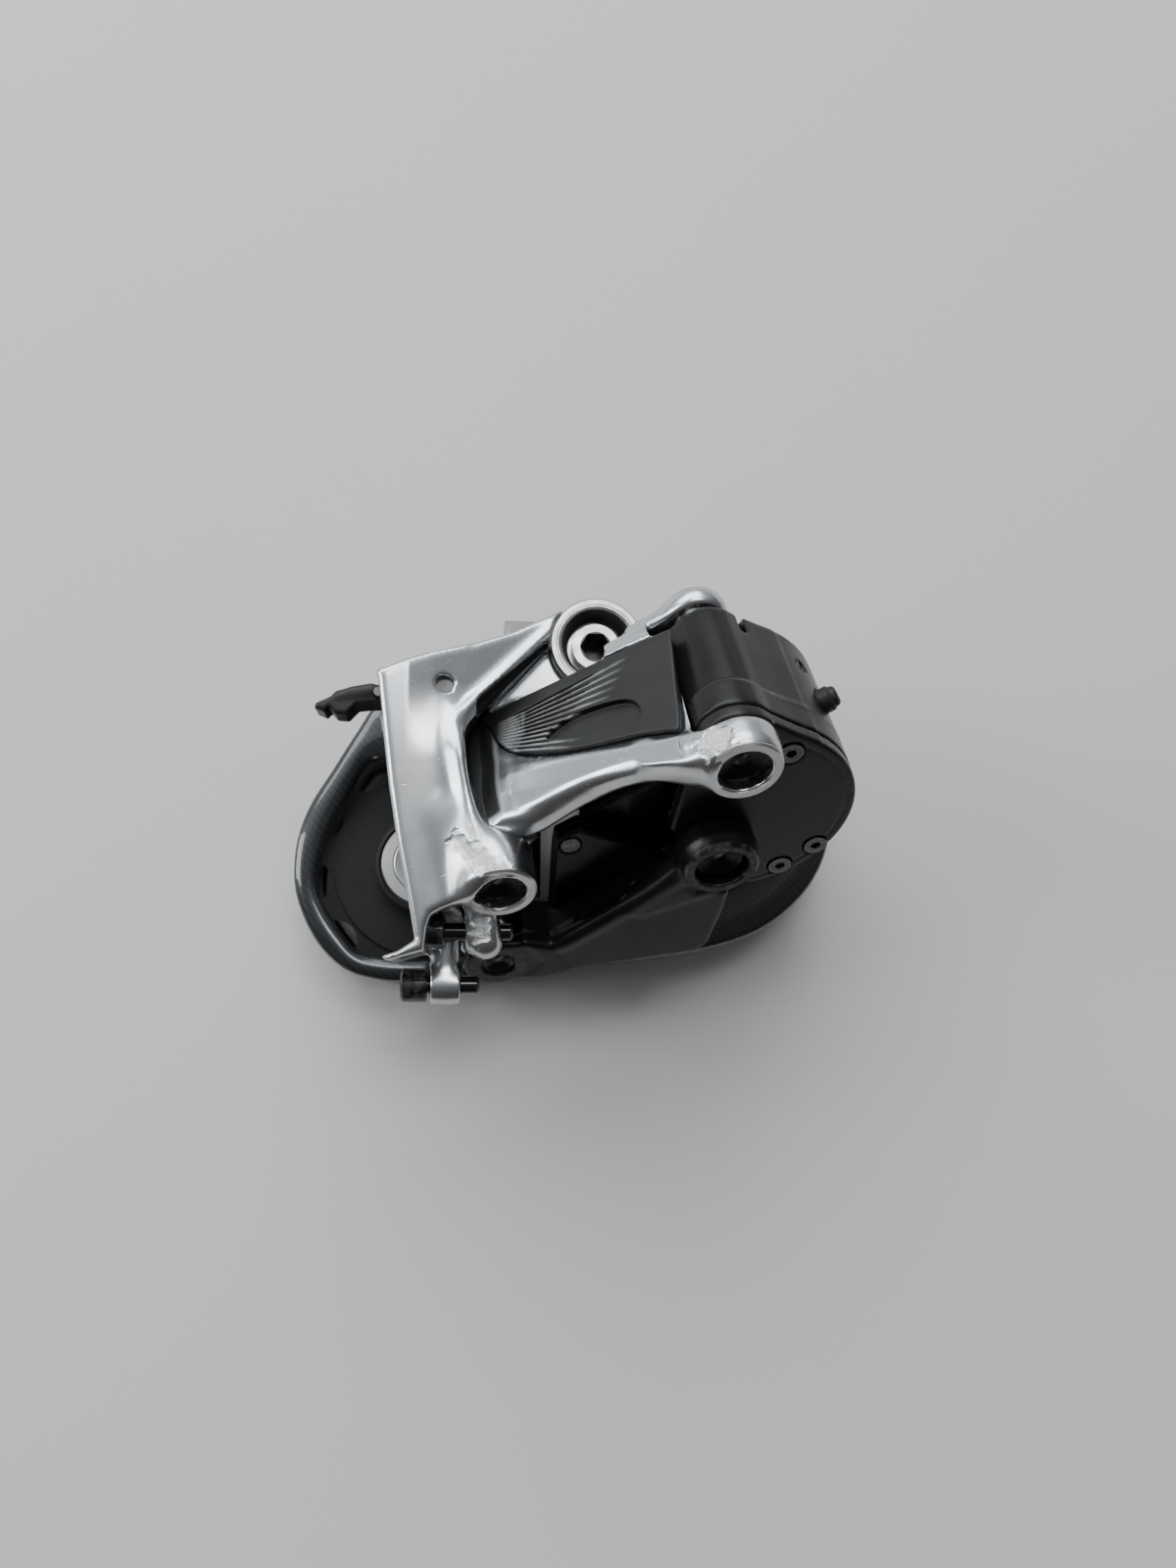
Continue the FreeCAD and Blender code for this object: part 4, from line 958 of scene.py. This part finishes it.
# ---------------------------------------------------------------- latch and screws
LATCH_EDGE = [(-36.9, -10.2), (-39.4, -9.9), (-43.0, -10.6), (-48.9, -13.5), (-49.1, -14.4), (-47.4, -15.1),
              (-46.6, -14.3), (-45.6, -15.4), (-43.6, -15.5), (-42.0, -13.7), (-39.6, -13.4), (-36.9, -13.4)]


def make_latch():
    def field(p):
        x, y, z = p
        lever = thick(polygon(x, y, LATCH_EDGE), z, 10.6, 17.0, 0.7)
        pad = capsule(p, (-45.0, -12.2, 15.6), (-40.0, -11.2, 16.0), 1.2)
        hole = circle(x, y, (-38.2, -11.8), 0.85)
        return blend_cut(blend_join(lever, pad, 0.8), hole, 0.15)
    piece = cast("latch_lever", field, (-49.3, -15.7, 10.5), (-36.8, -9.6, 17.2), 0.17, ROW,
                 "battery_latch", 1)
    dress(piece, PLASTIC_BLACK)
    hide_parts("battery_latch")


def make_limit_screws():
    along = np.array([[0, 0, 1], [1, 0, 0], [0, 1, 0]], float)
    for node, (y, z), neck in (("limit_screw_high", UPPER_SCREW, -26.2),
                               ("limit_screw_low", LOWER_SCREW, -29.2)):
        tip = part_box(node)[1].x / MM
        where = (np.array([0.0, y, z]), along)
        profile = [(1.25, neck - 4.6 + 1.4), (1.25, neck - 4.6), (2.6, neck - 4.6), (3.0, neck - 4.2),
                   (3.0, neck - 0.35), (2.7, neck), (1.5, neck), (1.5, tip - 0.4), (1.1, tip), (0.02, tip),
                   (0.02, neck - 4.6 + 1.4)]
        piece = lathe(node + "_turned", profile, (0, 0), where, node, 48)
        dress(piece, SCREW_BLACK)
        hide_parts(node)
        threads = [(1.5, neck + 0.2 + 0.5 * k) for k in range(4)]
        for index, (radius, height) in enumerate(threads):
            turn = [(radius - 0.2, height - 0.2), (radius + 0.04, height), (radius - 0.2, height + 0.2)]
            ring = lathe("%s_thread_%d" % (node, index), turn, (0, 0), where, node, 32)
            dress(ring, SCREW_BLACK)


def make_pin_ends():
    """Dished ends with a raised centre on the pivot pins."""
    for name, centre, top, radius, body in (
            ("upper_pin_face", O1, -1.5, 4.22, "b_knuckle"), ("lower_pin_face", O2, -1.5, 4.22, "outer_link"),
            ("inner_pin_face", I2, -1.4, 4.22, "p_knuckle"), ("plate_pin_face", I1, -1.6, 3.02, "b_knuckle")):
        profile = [(0.02, top - 0.9), (0.02, top - 0.55), (0.9, top - 0.62), (radius * 0.5, top - 0.85),
                   (radius - 0.75, top + 0.05), (radius - 0.4, top + 0.2), (radius, top - 0.1), (radius, top - 0.9)]
        dress(lathe(name, profile, centre, LINK, body), PIN_BLACK)


# ---------------------------------------------------------------- carried-over nodes
PLAIN = [
    (("guide_pulley", "tension_pulley"), PULLEY_BLACK, 0.35), (("hanger_bolt",), BOLT, 0.25),
    (("b_tab_washer",), STEEL_DARK, 0.2), (("bolt_circlip",), STEEL, 0.2),
    (("battery_contact_block",), PLASTIC_BLACK, 0.3),
    (("battery_contact_pins",), BRASS, 0.1), (("latch_spring_pin", "latch_hinge_pin"), STEEL_DARK, 0.15),
    (("outer_pivot_pin_upper", "outer_pivot_pin_lower", "inner_pivot_pin_upper", "inner_pivot_pin_lower"),
     PIN_BLACK, 0.15),
    (("latch_spring", "cage_spring"), STEEL, 0), (("outer_link_bushings",), STEEL, 0.1),
    (("gearbox_cover_screws",), STEEL_DARK, 0), (("inner_link_cover_screw",), SCREW_BLACK, 0),
    (("drive_motor",), STEEL, 0.3), (("control_board",), BOARD, 0.1),
    (("reduction_gear", "output_gear"), GEAR, 0), (("reduction_gear_shaft", "output_gear_shaft"), STEEL, 0.1),
    (("status_light_lens",), LENS, 0), (("cage_seal",), RUBBER, 0.2),
    (("pulley_bolts", "cage_pivot_axle", "cage_stop_pin"), STEEL_DARK, 0.25),
    (("guide_bearing", "tension_bearing", "guide_bearing_sleeve", "tension_bearing_sleeve"), STEEL, 0.15),
    (("guide_bearing_caps", "tension_bearing_caps"), CAP_SILVER, 0.15),
]


def dress_plain():
    for names, material, bevel in PLAIN:
        for name in names:
            dress_node(name, material, bevel)


make_knuckle()
make_outer_link()
make_inner_link()
make_housing()
make_cage()
make_latch()
make_limit_screws()
make_pin_ends()
dress_plain()


# ---------------------------------------------------------------- stage
def plain_surface(name, level, warm=0.0):
    n = Nodes(name)
    cloud = n.noise(6.0, 3.0)
    n.set(color=n.mix(cloud, grey(level, warm), grey(level * 0.96, warm)), rough=0.75)
    n.bump(n.noise(900.0, 3.0), 0.08, 0.0002)
    return n.material


def make_floor():
    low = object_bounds()[0].z
    size = 3.0
    mesh = bpy.data.meshes.new("floor")
    mesh.from_pydata([(-size, -size, low), (size, -size, low), (size, size, low), (-size, size, low)], [],
                     [(0, 1, 2, 3)])
    floor = bpy.data.objects.new("floor", mesh)
    bpy.context.scene.collection.objects.link(floor)
    dress(floor, plain_surface("floor_paint", 0.62, 0.02))


def area_light(name, place, target, width, height, power, color=(1, 1, 1)):
    data = bpy.data.lights.new(name, "AREA")
    data.shape = "RECTANGLE"
    data.size, data.size_y = width, height
    data.energy = power
    data.color = color
    lamp = bpy.data.objects.new(name, data)
    lamp.location = place
    lamp.rotation_euler = (Vector(target) - Vector(place)).to_track_quat("-Z", "Y").to_euler()
    bpy.context.scene.collection.objects.link(lamp)


def make_lights():
    area_light("window", (-0.35, 0.95, 0.75), (0, -0.03, 0), 1.5, 0.7, 17.0, (0.93, 0.97, 1.0))
    area_light("left_card", (-0.9, 0.1, 0.45), (0, -0.03, 0), 0.3, 0.7, 5.0, (0.95, 0.98, 1.0))
    area_light("ceiling", (0.1, 0.55, 1.3), (0, -0.03, 0), 0.7, 0.4, 6.0)
    world = bpy.data.worlds.new("studio")
    bpy.context.scene.world = world
    world.use_nodes = True
    tree = world.node_tree
    place = tree.nodes.new("ShaderNodeTexCoord")
    aim = tree.nodes.new("ShaderNodeVectorMath")
    aim.operation = "DOT_PRODUCT"
    aim.inputs[1].default_value = (-0.25, 0.85, 0.46)
    spread = tree.nodes.new("ShaderNodeMapRange")
    spread.inputs["From Min"].default_value = -1.0
    ramp = tree.nodes.new("ShaderNodeValToRGB")
    tree.links.new(place.outputs["Generated"], aim.inputs[0])
    tree.links.new(aim.outputs["Value"], spread.inputs["Value"])
    tree.links.new(spread.outputs["Result"], ramp.inputs["Fac"])
    ramp.color_ramp.elements[0].color = (0.085, 0.080, 0.074, 1)
    ramp.color_ramp.elements[0].position = 0.25
    ramp.color_ramp.elements[1].position = 0.97
    ramp.color_ramp.elements[1].color = (0.80, 0.84, 0.90, 1)
    middle = ramp.color_ramp.elements.new(0.68)
    middle.color = (0.20, 0.205, 0.215, 1)
    tree.links.new(ramp.outputs["Color"], tree.nodes["Background"].inputs["Color"])
    tree.nodes["Background"].inputs["Strength"].default_value = 0.9


def make_camera():
    data = bpy.data.cameras.new("camera")
    data.lens = 26.0
    data.sensor_width = 36.0
    data.clip_start = 0.01
    camera = bpy.data.objects.new("camera", data)
    right = Vector((0.995, 0.0, 0.100)).normalized()
    back = Vector((-0.0985, -0.176, 0.980))
    back = (back - right * back.dot(right)).normalized()
    up = back.cross(right)
    turn = Matrix((right, up, back)).transposed().to_4x4()
    camera.matrix_world = Matrix.Translation(Vector((-0.0214, -0.0612, 0.2082))) @ turn
    bpy.context.scene.collection.objects.link(camera)
    bpy.context.scene.camera = camera


make_floor()
make_lights()
make_camera()
